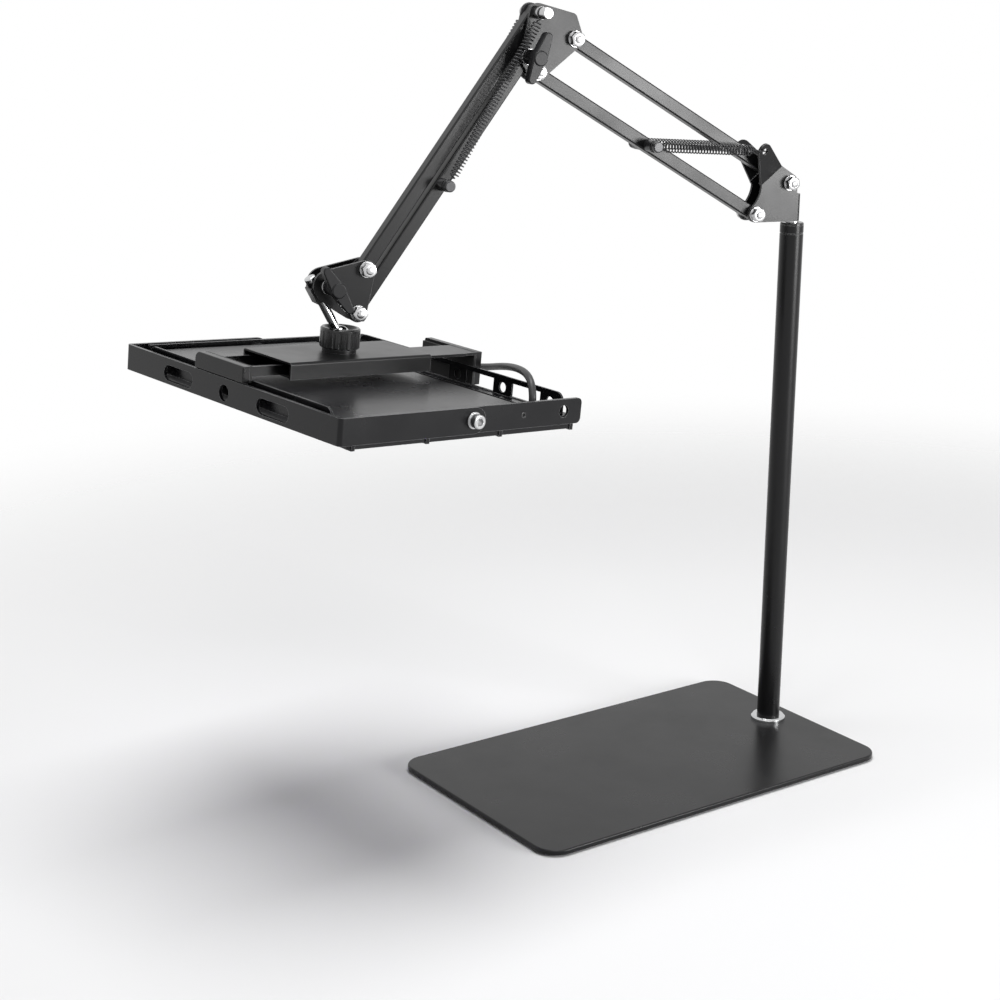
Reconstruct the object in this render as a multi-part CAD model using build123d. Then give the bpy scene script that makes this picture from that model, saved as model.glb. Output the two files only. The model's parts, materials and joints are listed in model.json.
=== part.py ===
from build123d import *
import math
import os

# Exposure unit: a flat base and a pole carry a two-stage parallel arm, whose head holds a UV lamp
# in a spring clamp on a ball joint. Lengths are in millimetres and angles in degrees. The origin is
# on the pole's axis at the table's surface, +Z is up and the arm reaches towards -X.

# ---- fits and stock ----
RUN = 0.05                   # radial clearance of a running fit
OPEN_PIVOT = 0.3             # radial clearance of the two pivots that close the parallel arms
SIDE_PLAY = 0.1              # gap beside a moving face
TIGHT = 0.1                  # radial clearance of a bolt in a plate that it clamps
CLEAR = 0.3                  # gap between pieces that only pass each other
M6_RADIUS = 3.0
M6_WASHER_RADIUS = 6.0
M6_WASHER_THICKNESS = 1.2
M6_NUT_FLATS = 10.0
M6_NUT_HEIGHT = 5.0
M6_HEAD_HEIGHT = 4.0

# ---- base and pole ----
BASE_LENGTH = 340.0
BASE_WIDTH = 206.0
BASE_THICKNESS = 4.0
BASE_CORNER_RADIUS = 18.0
BASE_EDGE_ROUND = 1.2
BASE_BACK_MARGIN = 27.0      # from the pole's axis to the back edge
BASE_SIDE_OFFSET = -5.8      # from the pole's axis to the plate's middle, along Y
FOOT_HEIGHT = 1.5
FOOT_RADIUS = 9.0
FOOT_INSET = 24.0
POLE_RADIUS = 9.5
POLE_WALL = 1.5
POLE_LENGTH = 424.6
POLE_GROOVE_DROP = 6.5       # from the tube's top to its crimp groove
POLE_GROOVE_DEPTH = 0.4
POLE_GROOVE_WIDTH = 1.0
PLUG_LENGTH = 28.0
BASE_BOLT_RADIUS = 4.0
BASE_BOLT_HEAD_RADIUS = 7.6
BASE_BOLT_HEAD_DEPTH = 3.4
BASE_BOLT_REACH = 20.0
FLANGE_RING_RADIUS = 14.5
FLANGE_RING_HEIGHT = 3.6
FLANGE_RING_BEVEL = 1.4
BUSH_LIP = 2.0
BUSH_LIP_ROUND = 0.7
BUSH_DEPTH = 26.0
BUSH_FLOOR = 2.0
SPINDLE_RADIUS = 5.0
SPINDLE_TIP_CHAMFER = 0.8

# ---- arm ----
ARM_SWING = -9.5             # how far the arm is turned from -X about the pole
BAR_SIZE = 10.0
BAR_WALL = 1.2
BAR_EDGE_ROUND = 1.2
BAR_END_RADIUS = 5.4
BAR_BUSH_LENGTH = 16.0
ARM_LINK = 225.0             # pivot to pivot along every bar
REAR_ANGLE = 149.6           # the rear bars' direction from +X
FRONT_ANGLE = 232.9          # the front bars' direction from +X
REAR_PAIR_SPACING = 38.56
REAR_PAIR_ANGLE = 217.0
FRONT_PAIR_SPACING = 32.26
FRONT_PAIR_ANGLE = 256.7
ELBOW_SPACING = 36.0
ELBOW_ANGLE = 147.9
PLATE_THICKNESS = 2.0
NYLON_THICKNESS = 0.9
NYLON_RADIUS = 6.4
LOBE_RADIUS = 6.8

# ---- shoulder yoke ----
YOKE_PIVOT_SETBACK = 9.0     # upper pivot, from the pole's axis towards the arm
YOKE_PIVOT_RISE = 32.4       # upper pivot, above the bush's rim
YOKE_FLOAT = 1.9             # gap between the bush's rim and the yoke
YOKE_BACK = 2.5
SHARP = 0.05                 # radius of a hull's sharp corner
YOKE_WEB_HEIGHT = 21.5
YOKE_BEND_RADIUS = 3.0
YOKE_UPPER_LOBE = 7.2
YOKE_LOWER_LOBE = 6.5
YOKE_SHOULDER_RISE = 16.2    # upper pivot to the fold's back end
YOKE_SHOULDER_ANGLE = 121.5
FOLD_LENGTH = 23.5
FOLD_ANGLE = 217.7
EAR_BEND = 20.0
EAR_REACH = 25.3             # from the fold to the spring hole, along the ear
EAR_HOLE_ALONG = 9.3         # of the spring hole, along the fold from its back end
EAR_RADIUS = 6.2
EAR_HOLE_RADIUS = 2.6
FRONT_CUT_RADIUS = 22.6
FRONT_CUT_ANGLE = 128.4
TONGUE_DEPTH = 5.5
TONGUE_HEIGHT = 17.5

# ---- arm springs and their pins ----
SPRING_STATION = 16.0        # |y| of the spring's axis
SPRING_RADIUS = 3.75
SPRING_WIRE_RADIUS = 0.8
SPRING_EYE_RADIUS = 4.0
SPRING_EYE_GAP = 2.4         # from the eye to the coil
PIN_SLEEVE_RADIUS = 4.6
FRONT_FAR_STATION = 12.2     # |y| of the front spring on the far side
EYE_ROOM = 1.4               # of a pin, each side of a spring's axis
LOWER_CAP_LENGTH = 3.4       # on the near end of a lower bar's pin
ELBOW_CAP_LENGTH = 7.6
FAR_CAP_LENGTH = 2.4
PIN_CAP_RADIUS = 4.2
PIN_CAP_ROUND = 0.9
ELBOW_CREST_SPACING = 14.5   # upper rear pivot to the elbow plate's crest
ELBOW_CREST_ANGLE = 101.0
ELBOW_CREST_RADIUS = 4.5

# ---- wing nuts ----
WING_HUB_RADIUS = 5.5
WING_HUB_LENGTH = 19.6
WING_START = 12.2            # along the hub, where the wings begin
WING_DEPTH = 6.5
WING_HALF_SPAN = 19.5
WING_TIP_RADIUS = 3.2
WING_SOCKET_LENGTH = 17.5
ELBOW_WING_ANGLE = 67.4
HEAD_WING_ANGLE = 120.0

# ---- head, pivot block and ball stud ----
HEAD_CLAMP_SPACING = 31.0    # upper head pivot to the clamp bolt
HEAD_CLAMP_ANGLE = 199.8
HEAD_CLAMP_LOBE = 12.0
CARRIAGE_HEAD_RADIUS = 6.6
CARRIAGE_HEAD_HEIGHT = 3.4
BLOCK_RADIUS = 8.0
BLOCK_HALF_WIDTH = 5.2
BLOCK_BELOW = 8.2            # along the stud, from the clamp bolt to the block's lower end
BLOCK_ABOVE = 4.8
STUD_LEAN = 27.0             # from vertical, its top towards -X
STUD_OFFSET = 7.95           # between the stud's and the clamp bolt's axes
STUD_BOLT_HEIGHT = 39.2      # ball centre to the clamp bolt, along the stud
STUD_RADIUS = 3.4
STUD_NECK_RADIUS = 3.1
STUD_NECK_END = 14.0
STUD_SLEEVE_RADIUS = 4.15
STUD_SLEEVE_LENGTH = 3.0
STUD_CAP_RADIUS = 4.35
STUD_CAP_LENGTH = 3.6
STUD_CAP_ROUND = 1.2

# ---- ball joint, in the lamp's own frame: u, v, w from the collar's axis at the clamp's top ----
LAMP_YAW = 6.4
LAMP_PITCH = 4.7
LAMP_ROLL = 1.7
BALL_HEIGHT = 11.0
BALL_RADIUS = 8.0
SEAT_WALL = 2.0              # round the ball's widest circle
SEAT_FLOOR = 1.3
SEAT_RISE = 3.0              # of the seat's top above the ball's centre
SOCKET_FLANGE_EDGE = 1.0     # of the flange beyond the socket's wall
SOCKET_FLANGE_HEIGHT = 2.6
SOCKET_WALL = 1.55
SOCKET_RIM_DROP = 0.5        # from the seat's top to the socket's rim
SPIGOT_RADIUS = 5.0
SPIGOT_LENGTH = 7.0
SPIGOT_NUT_FLATS = 15.0
SPIGOT_NUT_HEIGHT = 4.0
COLLAR_WALL = 3.1
COLLAR_RISE = 4.0            # of the collar's top above the seat's
COLLAR_THROAT_GAP = 1.0      # round the ball
COLLAR_RIM = 2.45            # width of the collar's top face
COLLAR_EDGE_ROUND = 1.0
COLLAR_FLUTES = 20
COLLAR_FLUTE_RADIUS = 1.3
COLLAR_FLUTE_DEPTH = 0.7

# ---- spring clamp ----
CLAMP_LENGTH = 127.0
CLAMP_WIDTH = 59.0
CLAMP_DEPTH = 12.3
CLAMP_SHEET = 1.5
CLAMP_BEND_RADIUS = 2.0
CLAMP_FLOOR_SHEET = 1.0
CLAMP_FLOOR_INSET = 3.5
LEFT_JAW_THICKNESS = 5.6
LEFT_JAW_NEAR = 24.0
LEFT_JAW_FAR = 36.5
JAW_TOP = 1.7
JAW_PASS = 0.4               # gap between the left jaw and the bracket, and under the rail bars
LEFT_PAD_THICKNESS = 2.0
JAW_CORNER_RADIUS = 5.0
JAW_EDGE_ROUND = 0.9
RAIL_BAR_THICKNESS = 2.5
RAIL_BAR_TOP = 4.0
RAIL_BAR_NEAR = -14.0
RAIL_BAR_FAR = 23.0
RAIL_BAR_INNER = 40.0
RIGHT_JAW_THICKNESS = 6.0
RIGHT_JAW_NEAR = 23.0
RIGHT_JAW_FAR = 39.0
RIGHT_JAW_GAP = 1.5          # from the right jaw's underside down to the sink
RIGHT_PAD_THICKNESS = 2.0
JAW_TRAVEL = 8.0
TONGUE_TOP = 2.0
TONGUE_THICKNESS = 2.0
TONGUE_INSET = 4.0           # from the skirt's inner face to the tongue's near edge
TONGUE_WIDTH = 32.0
TONGUE_INNER = 20.0
GUIDE_WIDTH = 3.2
GUIDE_LIP = 2.6
GUIDE_LIP_THICKNESS = 1.4
GUIDE_START = 12.0
CLAMP_SPRING_RADIUS = 2.4
CLAMP_SPRING_INSET = 6.0     # from the tongue's near edge to the nearer spring
CLAMP_SPRING_PITCH = 6.5
CLAMP_SPRING_RISE = 2.8      # above the hooks' lower edge
CLAMP_TAB_THICKNESS = 1.5
CLAMP_TAB_GAP = 0.9          # between the tongue's hook and the clamp's floor
ANCHOR_STATION = -34.0
ANCHOR_INSET = 2.0           # from the tongue's near edge
ANCHOR_WIDTH = 15.0

# ---- lamp ----
LAMP_MIDDLE = -4.5           # v of the lamp's middle plane
SIDE_HALF_SPAN = 129.0       # from the middle plane to a side plate's outer face
SIDE_SHEET = 2.5
SIDE_LEFT_INSET = 8.3        # of the side plate's left end from the sink's
SIDE_RIGHT_REACH = 1.8       # of its right end past the sink's
SIDE_RISE = 13.9             # of its top above the sink's face
SIDE_DROP = 4.8              # of its lower edge below the sink's face
SIDE_CORNER_RADIUS = 4.0
SIDE_SCREW_STATION = 65.0
SIDE_SCREW_RISE = 4.8        # above the sink's face
SIDE_SCREW_RADIUS = 2.4
SIDE_SCREW_HEAD = 1.3
SIDE_SCREW_SHANK = 1.2
SIDE_HOLE_STATION = 104.3
SIDE_HOLE_RADIUS = 4.5
SINK_LEFT = -92.3
SINK_RIGHT = 119.6
SINK_THICKNESS = 3.0
SINK_SIDE_GAP = 0.2
SINK_TAB_SHEET = 2.0
SINK_TAB_HALF_LENGTH = 9.0
SINK_TAB_LEFT = -62.0
FLANGE_SHEET = 1.5
FLANGE_HEIGHT = 16.8
FLANGE_END_INSET = 16.0      # from the side plates' outer faces
STRIP_END_RADIUS = 7.0
RAIL_INSET = 8.5             # of the rail's face from the sink's right end
RAIL_SHEET = 1.5
RAIL_HEIGHT = 16.1
RAIL_END_INSET = 8.0         # from the side plates' outer faces
RAIL_FOOT = 8.0
RAIL_PITCH = 52.1
RAIL_HOLE_RADIUS = 3.8
RAIL_HOLE_RISE = 7.2         # above the sink's face
RAIL_HOLE_SHIFT = -3.2       # of the middle hole, from the lamp's middle plane
RAIL_WINDOW_LENGTH = 31.4
RAIL_WINDOW_HEIGHT = 10.0
COVER_LEFT_INSET = 4.3       # from the sink's left end
COVER_RIGHT = 65.0
COVER_HEIGHT = 11.5
COVER_END_INSET = 9.0        # from the side plates' outer faces
COVER_SHEET = 1.2
COVER_EDGE_ROUND = 1.0
COVER_LIP = 3.2
COVER_SCREW_FIRST = 8.7      # of the screws, from the lamp's middle plane
COVER_SCREW_PITCH = 42.0
COVER_SCREWS_A_SIDE = 3
COVER_SCREW_RADIUS = 1.5
COVER_SCREW_HEAD = 1.1
DRIVER_LENGTH = 96.0
DRIVER_WIDTH = 58.0
DRIVER_HEADROOM = 1.9        # under the cover's top sheet
DRIVER_STATION = -16.0
FRAME_LEFT_INSET = 5.3       # from the sink's left end
FRAME_RIGHT_INSET = 1.6
FRAME_SIDE_INSET = 2.8       # from the side plates' outer faces
FRAME_HEIGHT = 6.0
FRAME_WALL = 5.0
FRAME_LEDGE = 4.0
FRAME_LEDGE_THICKNESS = 1.0
GLASS_THICKNESS = 2.0
GLASS_GAP = 0.3
BOARD_THICKNESS = 1.6
BOARD_GAP = 1.0
GASKET_WIDTH = 4.0
CHIP_SIZE = 5.0
CHIP_HEIGHT = 0.9
CHIP_COLUMNS = 8
CHIP_ROWS = 10
CHIP_PITCH = 21.5
CLIP_LEFT_INSET = 3.4        # of the outer clips from the frame's ends
CLIP_RIGHT_INSET = 3.0
CLIP_INNER_LEFT = -19.7
CLIP_INNER_RIGHT = 46.6
CLIP_WIDTH = 3.0
CLIP_SHEET = 0.9
CLIP_REACH = 6.0
CLIP_RISE = 3.6

# ---- lamp lead ----
LEAD_DIAMETER = 5.5
LEAD_CORNER_SHARE = 0.45     # of the shorter run beside a corner, taken by its bend
GLAND_RADIUS = 4.6
GLAND_LENGTH = 2.6
GLAND_CHAMFER = 0.8
SINK_GLAND_STATION = 86.9
SINK_GLAND_INSET = 15.2      # from the near side plate's outer face
COVER_GLAND_STATION = 77.0
COVER_GLAND_RISE = 5.9       # above the sink's face
LEAD_ROUTE = (
    (86.9, -118.3, -17.7),
    (88.4, -115.2, -10.3),
    (91.2, -109.4, -4.9),
    (96.2, -98.9, -2.2),
    (103.6, -83.8, -2.6),
    (112.5, -64.8, -4.9),
    (122.5, -42.0, -9.4),
    (131.6, -20.5, -14.6),
    (137.6, 0.0, -19.0),
    (138.4, 22.0, -21.6),
    (134.5, 42.0, -22.0),
    (125.5, 58.5, -21.6),
    (112.0, 71.0, -21.2),
    (96.0, 77.0, -22.2),
    (81.0, 77.0, -22.6),
)

# ---- mounting bracket ----
BRACKET_SHEET = 2.5
BRACKET_REACH = 7.7          # of the wall's outer face past the sink's left end
BRACKET_RISE = 14.5          # of its upper edge above the sink's face
BRACKET_WIDTH = 18.9
BRACKET_BEND_RADIUS = 3.2
BRACKET_PIVOT_STATION = 15.0
BRACKET_PIVOT_RISE = 5.5     # above the sink's face
BRACKET_TAIL = 1.65          # from the pivot to the middle of the arm's round end
BRACKET_SLOT_SPACING = 59.0
BRACKET_SLOT_SHIFT = 2.5     # of the slots and the hole, from the lamp's middle
BRACKET_SLOT_LENGTH = 38.0
BRACKET_SLOT_HEIGHT = 11.5
BRACKET_HOLE_RADIUS = 6.0
BRACKET_HOLE_RISE = 3.9      # above the sink's face
SPACER_THICKNESS = 1.5
CAP_SCREW_RADIUS = 5.0
CAP_SCREW_HEIGHT = 6.0
CAP_SOCKET_FLATS = 5.0
CAP_SOCKET_DEPTH = 3.0

# ---- places that follow from the sizes above ----
BASE_TOP = FOOT_HEIGHT + BASE_THICKNESS
BUSH_RIM = POLE_LENGTH + BUSH_LIP
PLATE_INNER = BAR_SIZE / 2 + SIDE_PLAY + NYLON_THICKNESS
PLATE_OUTER = PLATE_INNER + PLATE_THICKNESS
WASHER_OUTER = PLATE_OUTER + M6_WASHER_THICKNESS
YOKE_FLOOR = BUSH_RIM + YOKE_FLOAT
BLOCK_START = STUD_BOLT_HEIGHT - BLOCK_BELOW
BLOCK_END = STUD_BOLT_HEIGHT + BLOCK_ABOVE

SEAT_BOTTOM = BALL_HEIGHT - BALL_RADIUS - RUN - SEAT_FLOOR
SEAT_TOP = BALL_HEIGHT + SEAT_RISE
SEAT_RADIUS = BALL_RADIUS + SEAT_WALL
SOCKET_FLOOR = SEAT_BOTTOM - RUN
SOCKET_RIM = SEAT_TOP - SOCKET_RIM_DROP
SOCKET_RADIUS = SEAT_RADIUS + RUN + SOCKET_WALL
SOCKET_FLANGE_RADIUS = SOCKET_RADIUS + SOCKET_FLANGE_EDGE
COLLAR_RADIUS = SOCKET_RADIUS + RUN + COLLAR_WALL
COLLAR_TOP = SEAT_TOP + COLLAR_RISE
COLLAR_THROAT_RADIUS = BALL_RADIUS + COLLAR_THROAT_GAP
COLLAR_MOUTH_RADIUS = COLLAR_RADIUS - COLLAR_RIM

# Levels in the lamp: the clamp lies on its left flange, and the sink's face is below that.
CLAMP_FLOOR_TOP = CLAMP_FLOOR_SHEET - CLAMP_DEPTH
FLANGE_TOP = CLAMP_FLOOR_TOP - JAW_PASS
SINK_TOP = FLANGE_TOP - FLANGE_HEIGHT
SINK_BOTTOM = SINK_TOP - SINK_THICKNESS
SIDE_TOP = SINK_TOP + SIDE_RISE
SIDE_BOTTOM = SINK_TOP - SIDE_DROP
SIDE_SCREW_LEVEL = SINK_TOP + SIDE_SCREW_RISE
RAIL_TOP = SINK_TOP + RAIL_HEIGHT
RAIL_HOLE_LEVEL = SINK_TOP + RAIL_HOLE_RISE
COVER_TOP = SINK_TOP + COVER_HEIGHT
BRACKET_TOP = SINK_TOP + BRACKET_RISE
BRACKET_BOTTOM = BRACKET_TOP - BRACKET_WIDTH
BRACKET_PIVOT_LEVEL = SINK_TOP + BRACKET_PIVOT_RISE
BRACKET_HOLE_LEVEL = SINK_TOP + BRACKET_HOLE_RISE
FRAME_BOTTOM = SINK_BOTTOM - FRAME_HEIGHT
GLASS_BOTTOM = FRAME_BOTTOM + FRAME_LEDGE_THICKNESS
GLASS_TOP = GLASS_BOTTOM + GLASS_THICKNESS
BOARD_BOTTOM = SINK_BOTTOM - BOARD_THICKNESS
JAW_BOTTOM = BRACKET_TOP + JAW_PASS
RIGHT_JAW_BOTTOM = SINK_TOP + RIGHT_JAW_GAP
CLAMP_TAB_BOTTOM = CLAMP_FLOOR_TOP + CLAMP_TAB_GAP
CLAMP_SPRING_LEVEL = CLAMP_TAB_BOTTOM + CLAMP_SPRING_RISE
TONGUE_BOTTOM = -TONGUE_TOP - TONGUE_THICKNESS

# Stations across and along the lamp.
FLANGE_HALF_SPAN = SIDE_HALF_SPAN - FLANGE_END_INSET
RAIL_HALF_SPAN = SIDE_HALF_SPAN - RAIL_END_INSET
COVER_HALF_SPAN = SIDE_HALF_SPAN - COVER_END_INSET
FRAME_HALF_SPAN = SIDE_HALF_SPAN - FRAME_SIDE_INSET
BRACKET_INNER_SPAN = SIDE_HALF_SPAN + SPACER_THICKNESS
SIDE_LEFT = SINK_LEFT + SIDE_LEFT_INSET
SIDE_RIGHT = SINK_RIGHT + SIDE_RIGHT_REACH
COVER_LEFT = SINK_LEFT + COVER_LEFT_INSET
FRAME_LEFT = SINK_LEFT + FRAME_LEFT_INSET
FRAME_RIGHT = SINK_RIGHT - FRAME_RIGHT_INSET
RAIL_OUT = SINK_RIGHT - RAIL_INSET
BRACKET_OUT = SINK_LEFT - BRACKET_REACH
LEFT_JAW_INNER = SINK_LEFT - SIDE_PLAY - LEFT_PAD_THICKNESS
RIGHT_JAW_INNER = RAIL_OUT + CLEAR + RIGHT_PAD_THICKNESS
TONGUE_NEAR = CLAMP_SHEET + TONGUE_INSET - CLAMP_WIDTH / 2
TONGUE_FAR = TONGUE_NEAR + TONGUE_WIDTH
CLAMP_SPRING_NEAR = TONGUE_NEAR + CLAMP_SPRING_INSET
CLAMP_SPRING_STATIONS = (CLAMP_SPRING_NEAR, CLAMP_SPRING_NEAR + CLAMP_SPRING_PITCH)
ANCHOR_NEAR = TONGUE_NEAR + ANCHOR_INSET
ANCHOR_FAR = ANCHOR_NEAR + ANCHOR_WIDTH
RAIL_BAR_STATIONS = (RAIL_BAR_NEAR, RAIL_BAR_FAR)
SINK_TAB_STATIONS = (SINK_TAB_LEFT, SIDE_SCREW_STATION)
CLIP_STATIONS = (FRAME_LEFT + CLIP_LEFT_INSET, CLIP_INNER_LEFT, CLIP_INNER_RIGHT,
                 FRAME_RIGHT - CLIP_RIGHT_INSET)
SINK_GLAND = (SINK_GLAND_STATION, LAMP_MIDDLE - SIDE_HALF_SPAN + SINK_GLAND_INSET)
COVER_GLAND = (COVER_GLAND_STATION, SINK_TOP + COVER_GLAND_RISE)


def away(point, distance, angle):
    """The point at a distance and direction from another, in the arm's plane."""
    turn = math.radians(angle)
    return point[0] + distance * math.cos(turn), point[1] + distance * math.sin(turn)


SHOULDER_UPPER = (-YOKE_PIVOT_SETBACK, BUSH_RIM + YOKE_PIVOT_RISE)
SHOULDER_LOWER = away(SHOULDER_UPPER, REAR_PAIR_SPACING, REAR_PAIR_ANGLE)
ELBOW_REAR_UPPER = away(SHOULDER_UPPER, ARM_LINK, REAR_ANGLE)
ELBOW_REAR_LOWER = away(SHOULDER_LOWER, ARM_LINK, REAR_ANGLE)
ELBOW_FRONT_UPPER = away(ELBOW_REAR_UPPER, ELBOW_SPACING, ELBOW_ANGLE)
ELBOW_FRONT_LOWER = away(ELBOW_FRONT_UPPER, FRONT_PAIR_SPACING, FRONT_PAIR_ANGLE)
HEAD_UPPER = away(ELBOW_FRONT_UPPER, ARM_LINK, FRONT_ANGLE)
HEAD_LOWER = away(ELBOW_FRONT_LOWER, ARM_LINK, FRONT_ANGLE)
HEAD_CLAMP = away(HEAD_UPPER, HEAD_CLAMP_SPACING, HEAD_CLAMP_ANGLE)
REAR_PIN = away(SHOULDER_LOWER, ARM_LINK / 2, REAR_ANGLE)
FRONT_PIN = away(ELBOW_FRONT_LOWER, ARM_LINK / 2, FRONT_ANGLE)
STUD_ANGLE = 90 + STUD_LEAN
BALL = away(away(HEAD_CLAMP, STUD_OFFSET, STUD_ANGLE + 90), -STUD_BOLT_HEIGHT, STUD_ANGLE)
FOLD_BACK = away(SHOULDER_UPPER, YOKE_SHOULDER_RISE, YOKE_SHOULDER_ANGLE)
FOLD_FRONT = away(FOLD_BACK, FOLD_LENGTH, FOLD_ANGLE)

ARM = Pos(0, 0, BASE_TOP) * Rot(0, 0, ARM_SWING)
BALL_PLACE = (ARM * Pos(BALL[0], 0, BALL[1])).position
LAMP_TURN = Rot(0, 0, LAMP_YAW) * Rot(0, LAMP_PITCH, 0) * Rot(LAMP_ROLL, 0, 0)
LAMP = Pos(BALL_PLACE.X, BALL_PLACE.Y, BALL_PLACE.Z) * LAMP_TURN * Pos(0, 0, -BALL_HEIGHT)

LOW = (Align.CENTER, Align.CENTER, Align.MIN)


# ---- shapes used by many pieces ----
def block(low, high):
    """A box between two corners."""
    size = [b - a for a, b in zip(low, high)]
    return Pos(*low) * Box(*size, align=(Align.MIN, Align.MIN, Align.MIN))


def turned(profile):
    """A body turned about Z from (radius, height) points."""
    return revolve(Plane.XZ * make_face(Polyline(*profile, close=True)), Axis.Z)


def rod(point, radius, start, end):
    """A round bar along Y through a point of the arm's plane."""
    return Pos(point[0], start, point[1]) * Rot(-90, 0, 0) * Cylinder(radius, end - start, align=LOW)


def ring(point, outer, inner, start, end):
    """A washer or sleeve along Y."""
    return rod(point, outer, start, end) - rod(point, inner, start - CLEAR, end + CLEAR)


def hexagon(point, flats, start, end):
    """A six-sided prism along Y."""
    face = Plane.XZ.offset(-end) * Pos(*point) * RegularPolygon(flats / 2, 6, major_radius=False)
    return extrude(face, end - start)


def slab(face, start, end):
    """A face drawn in the arm's plane, given thickness along Y."""
    return extrude(Plane.XZ.offset(-end) * face, end - start)


def hull(circles):
    """The outline drawn tight round circles of (x, z, radius)."""
    edges = [(Pos(x, z) * Circle(radius)).edge() for x, z, radius in circles]
    return make_hull(edges)


def mirrored(solid):
    """The same solid on the arm's far side."""
    return solid.mirror(Plane.XZ)


def pair(solid):
    """A solid and its mirror image, kept apart."""
    return [solid, mirrored(solid)]


def group(*items):
    """Separate solids kept together in one node."""
    solids = []
    for item in items:
        solids += group(*item) if isinstance(item, list) else list(item.solids())
    return solids


# ---- base and pole ----
def base_plate():
    middle = (BASE_BACK_MARGIN - BASE_LENGTH / 2, BASE_SIDE_OFFSET)
    outline = Pos(*middle) * RectangleRounded(BASE_LENGTH, BASE_WIDTH, BASE_CORNER_RADIUS)
    plate = extrude(Pos(0, 0, FOOT_HEIGHT) * outline, BASE_THICKNESS)
    plate = fillet(plate.faces().sort_by(Axis.Z)[-1].edges(), BASE_EDGE_ROUND)
    hole = Pos(0, 0, FOOT_HEIGHT) * Cylinder(BASE_BOLT_RADIUS + TIGHT, BASE_THICKNESS, align=LOW)
    return plate - hole - base_bolt_head(TIGHT)


def base_bolt_head(gap):
    shank = BASE_BOLT_RADIUS + gap
    head = BASE_BOLT_HEAD_RADIUS + gap
    top = FOOT_HEIGHT + BASE_BOLT_HEAD_DEPTH + gap
    return turned([(0, FOOT_HEIGHT), (head, FOOT_HEIGHT), (shank, top), (0, top)])


def base_bolt():
    length = BASE_THICKNESS + BASE_BOLT_REACH
    shank = Pos(0, 0, FOOT_HEIGHT) * Cylinder(BASE_BOLT_RADIUS, length, align=LOW)
    return shank + base_bolt_head(0)


def foot_pads():
    """One pad near each corner, and one over the bolt's head under the pole."""
    back = BASE_BACK_MARGIN - FOOT_INSET
    front = BASE_BACK_MARGIN - BASE_LENGTH + FOOT_INSET
    side = BASE_WIDTH / 2 - FOOT_INSET
    places = [(x, BASE_SIDE_OFFSET + y) for x in (front, back) for y in (-side, side)]
    places.append((0, 0))
    return [Pos(x, y, 0) * Cylinder(FOOT_RADIUS, FOOT_HEIGHT, align=LOW) for x, y in places]


def flange_ring():
    inner = POLE_RADIUS + TIGHT
    rim = FLANGE_RING_RADIUS - FLANGE_RING_BEVEL
    wall = FLANGE_RING_HEIGHT - FLANGE_RING_BEVEL
    profile = [(inner, 0), (FLANGE_RING_RADIUS, 0), (FLANGE_RING_RADIUS, wall)]
    return Pos(0, 0, BASE_TOP) * turned(profile + [(rim, FLANGE_RING_HEIGHT), (inner, FLANGE_RING_HEIGHT)])


def pole_tube():
    tube = Cylinder(POLE_RADIUS, POLE_LENGTH, align=LOW)
    tube -= Cylinder(POLE_RADIUS - POLE_WALL, POLE_LENGTH, align=LOW)
    height = POLE_LENGTH - POLE_GROOVE_DROP
    groove = Pos(0, 0, height) * Cylinder(POLE_RADIUS + CLEAR, POLE_GROOVE_WIDTH)
    groove -= Pos(0, 0, height) * Cylinder(POLE_RADIUS - POLE_GROOVE_DEPTH, POLE_GROOVE_WIDTH)
    return Pos(0, 0, BASE_TOP) * (tube - groove)


def pole_bottom_plug():
    plug = Cylinder(POLE_RADIUS - POLE_WALL, PLUG_LENGTH, align=LOW)
    plug -= Cylinder(BASE_BOLT_RADIUS, BASE_BOLT_REACH, align=LOW)
    return Pos(0, 0, BASE_TOP) * plug


def pole_top_bush():
    stem = POLE_RADIUS - POLE_WALL
    bore = SPINDLE_RADIUS + RUN
    bottom = POLE_LENGTH - BUSH_DEPTH
    profile = [(0, bottom), (stem, bottom), (stem, POLE_LENGTH), (POLE_RADIUS, POLE_LENGTH)]
    profile += [(POLE_RADIUS, BUSH_RIM - BUSH_LIP_ROUND), (POLE_RADIUS - BUSH_LIP_ROUND, BUSH_RIM)]
    profile += [(bore + BUSH_LIP_ROUND, BUSH_RIM), (bore, BUSH_RIM - BUSH_LIP_ROUND)]
    profile += [(bore, bottom + BUSH_FLOOR), (0, bottom + BUSH_FLOOR)]
    return Pos(0, 0, BASE_TOP) * turned(profile)


# ---- shoulder ----
def yoke_ear():
    """The flap that carries a spring, bent outwards along the fold, on the +Y side."""
    hole = (EAR_HOLE_ALONG, EAR_REACH)
    fold = [(0, 0, SHARP), (FOLD_LENGTH, 0, SHARP)]
    face = hull(fold + [(hole[0], hole[1], EAR_RADIUS)])
    face -= Pos(*hole) * Circle(EAR_HOLE_RADIUS)
    along = Vector(math.cos(math.radians(FOLD_ANGLE)), 0, math.sin(math.radians(FOLD_ANGLE)))
    outline = Plane(origin=(FOLD_BACK[0], PLATE_INNER, FOLD_BACK[1]), x_dir=along, z_dir=(0, 1, 0))
    flap = extrude(outline * face, PLATE_THICKNESS)
    crease = Axis((FOLD_BACK[0], PLATE_INNER, FOLD_BACK[1]), along)
    bend = Pos(FOLD_BACK[0], PLATE_INNER, FOLD_BACK[1]) * Rot(0, 90 - FOLD_ANGLE, 0)
    knuckle = bend * Cylinder(PLATE_THICKNESS, FOLD_LENGTH, align=LOW)
    reach = 2 * FOLD_LENGTH
    keep = Pos(*outline.origin) * block((-reach, 0, -reach), (reach, reach, reach))
    return flap.rotate(crease, EAR_BEND) + (knuckle & keep)


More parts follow.
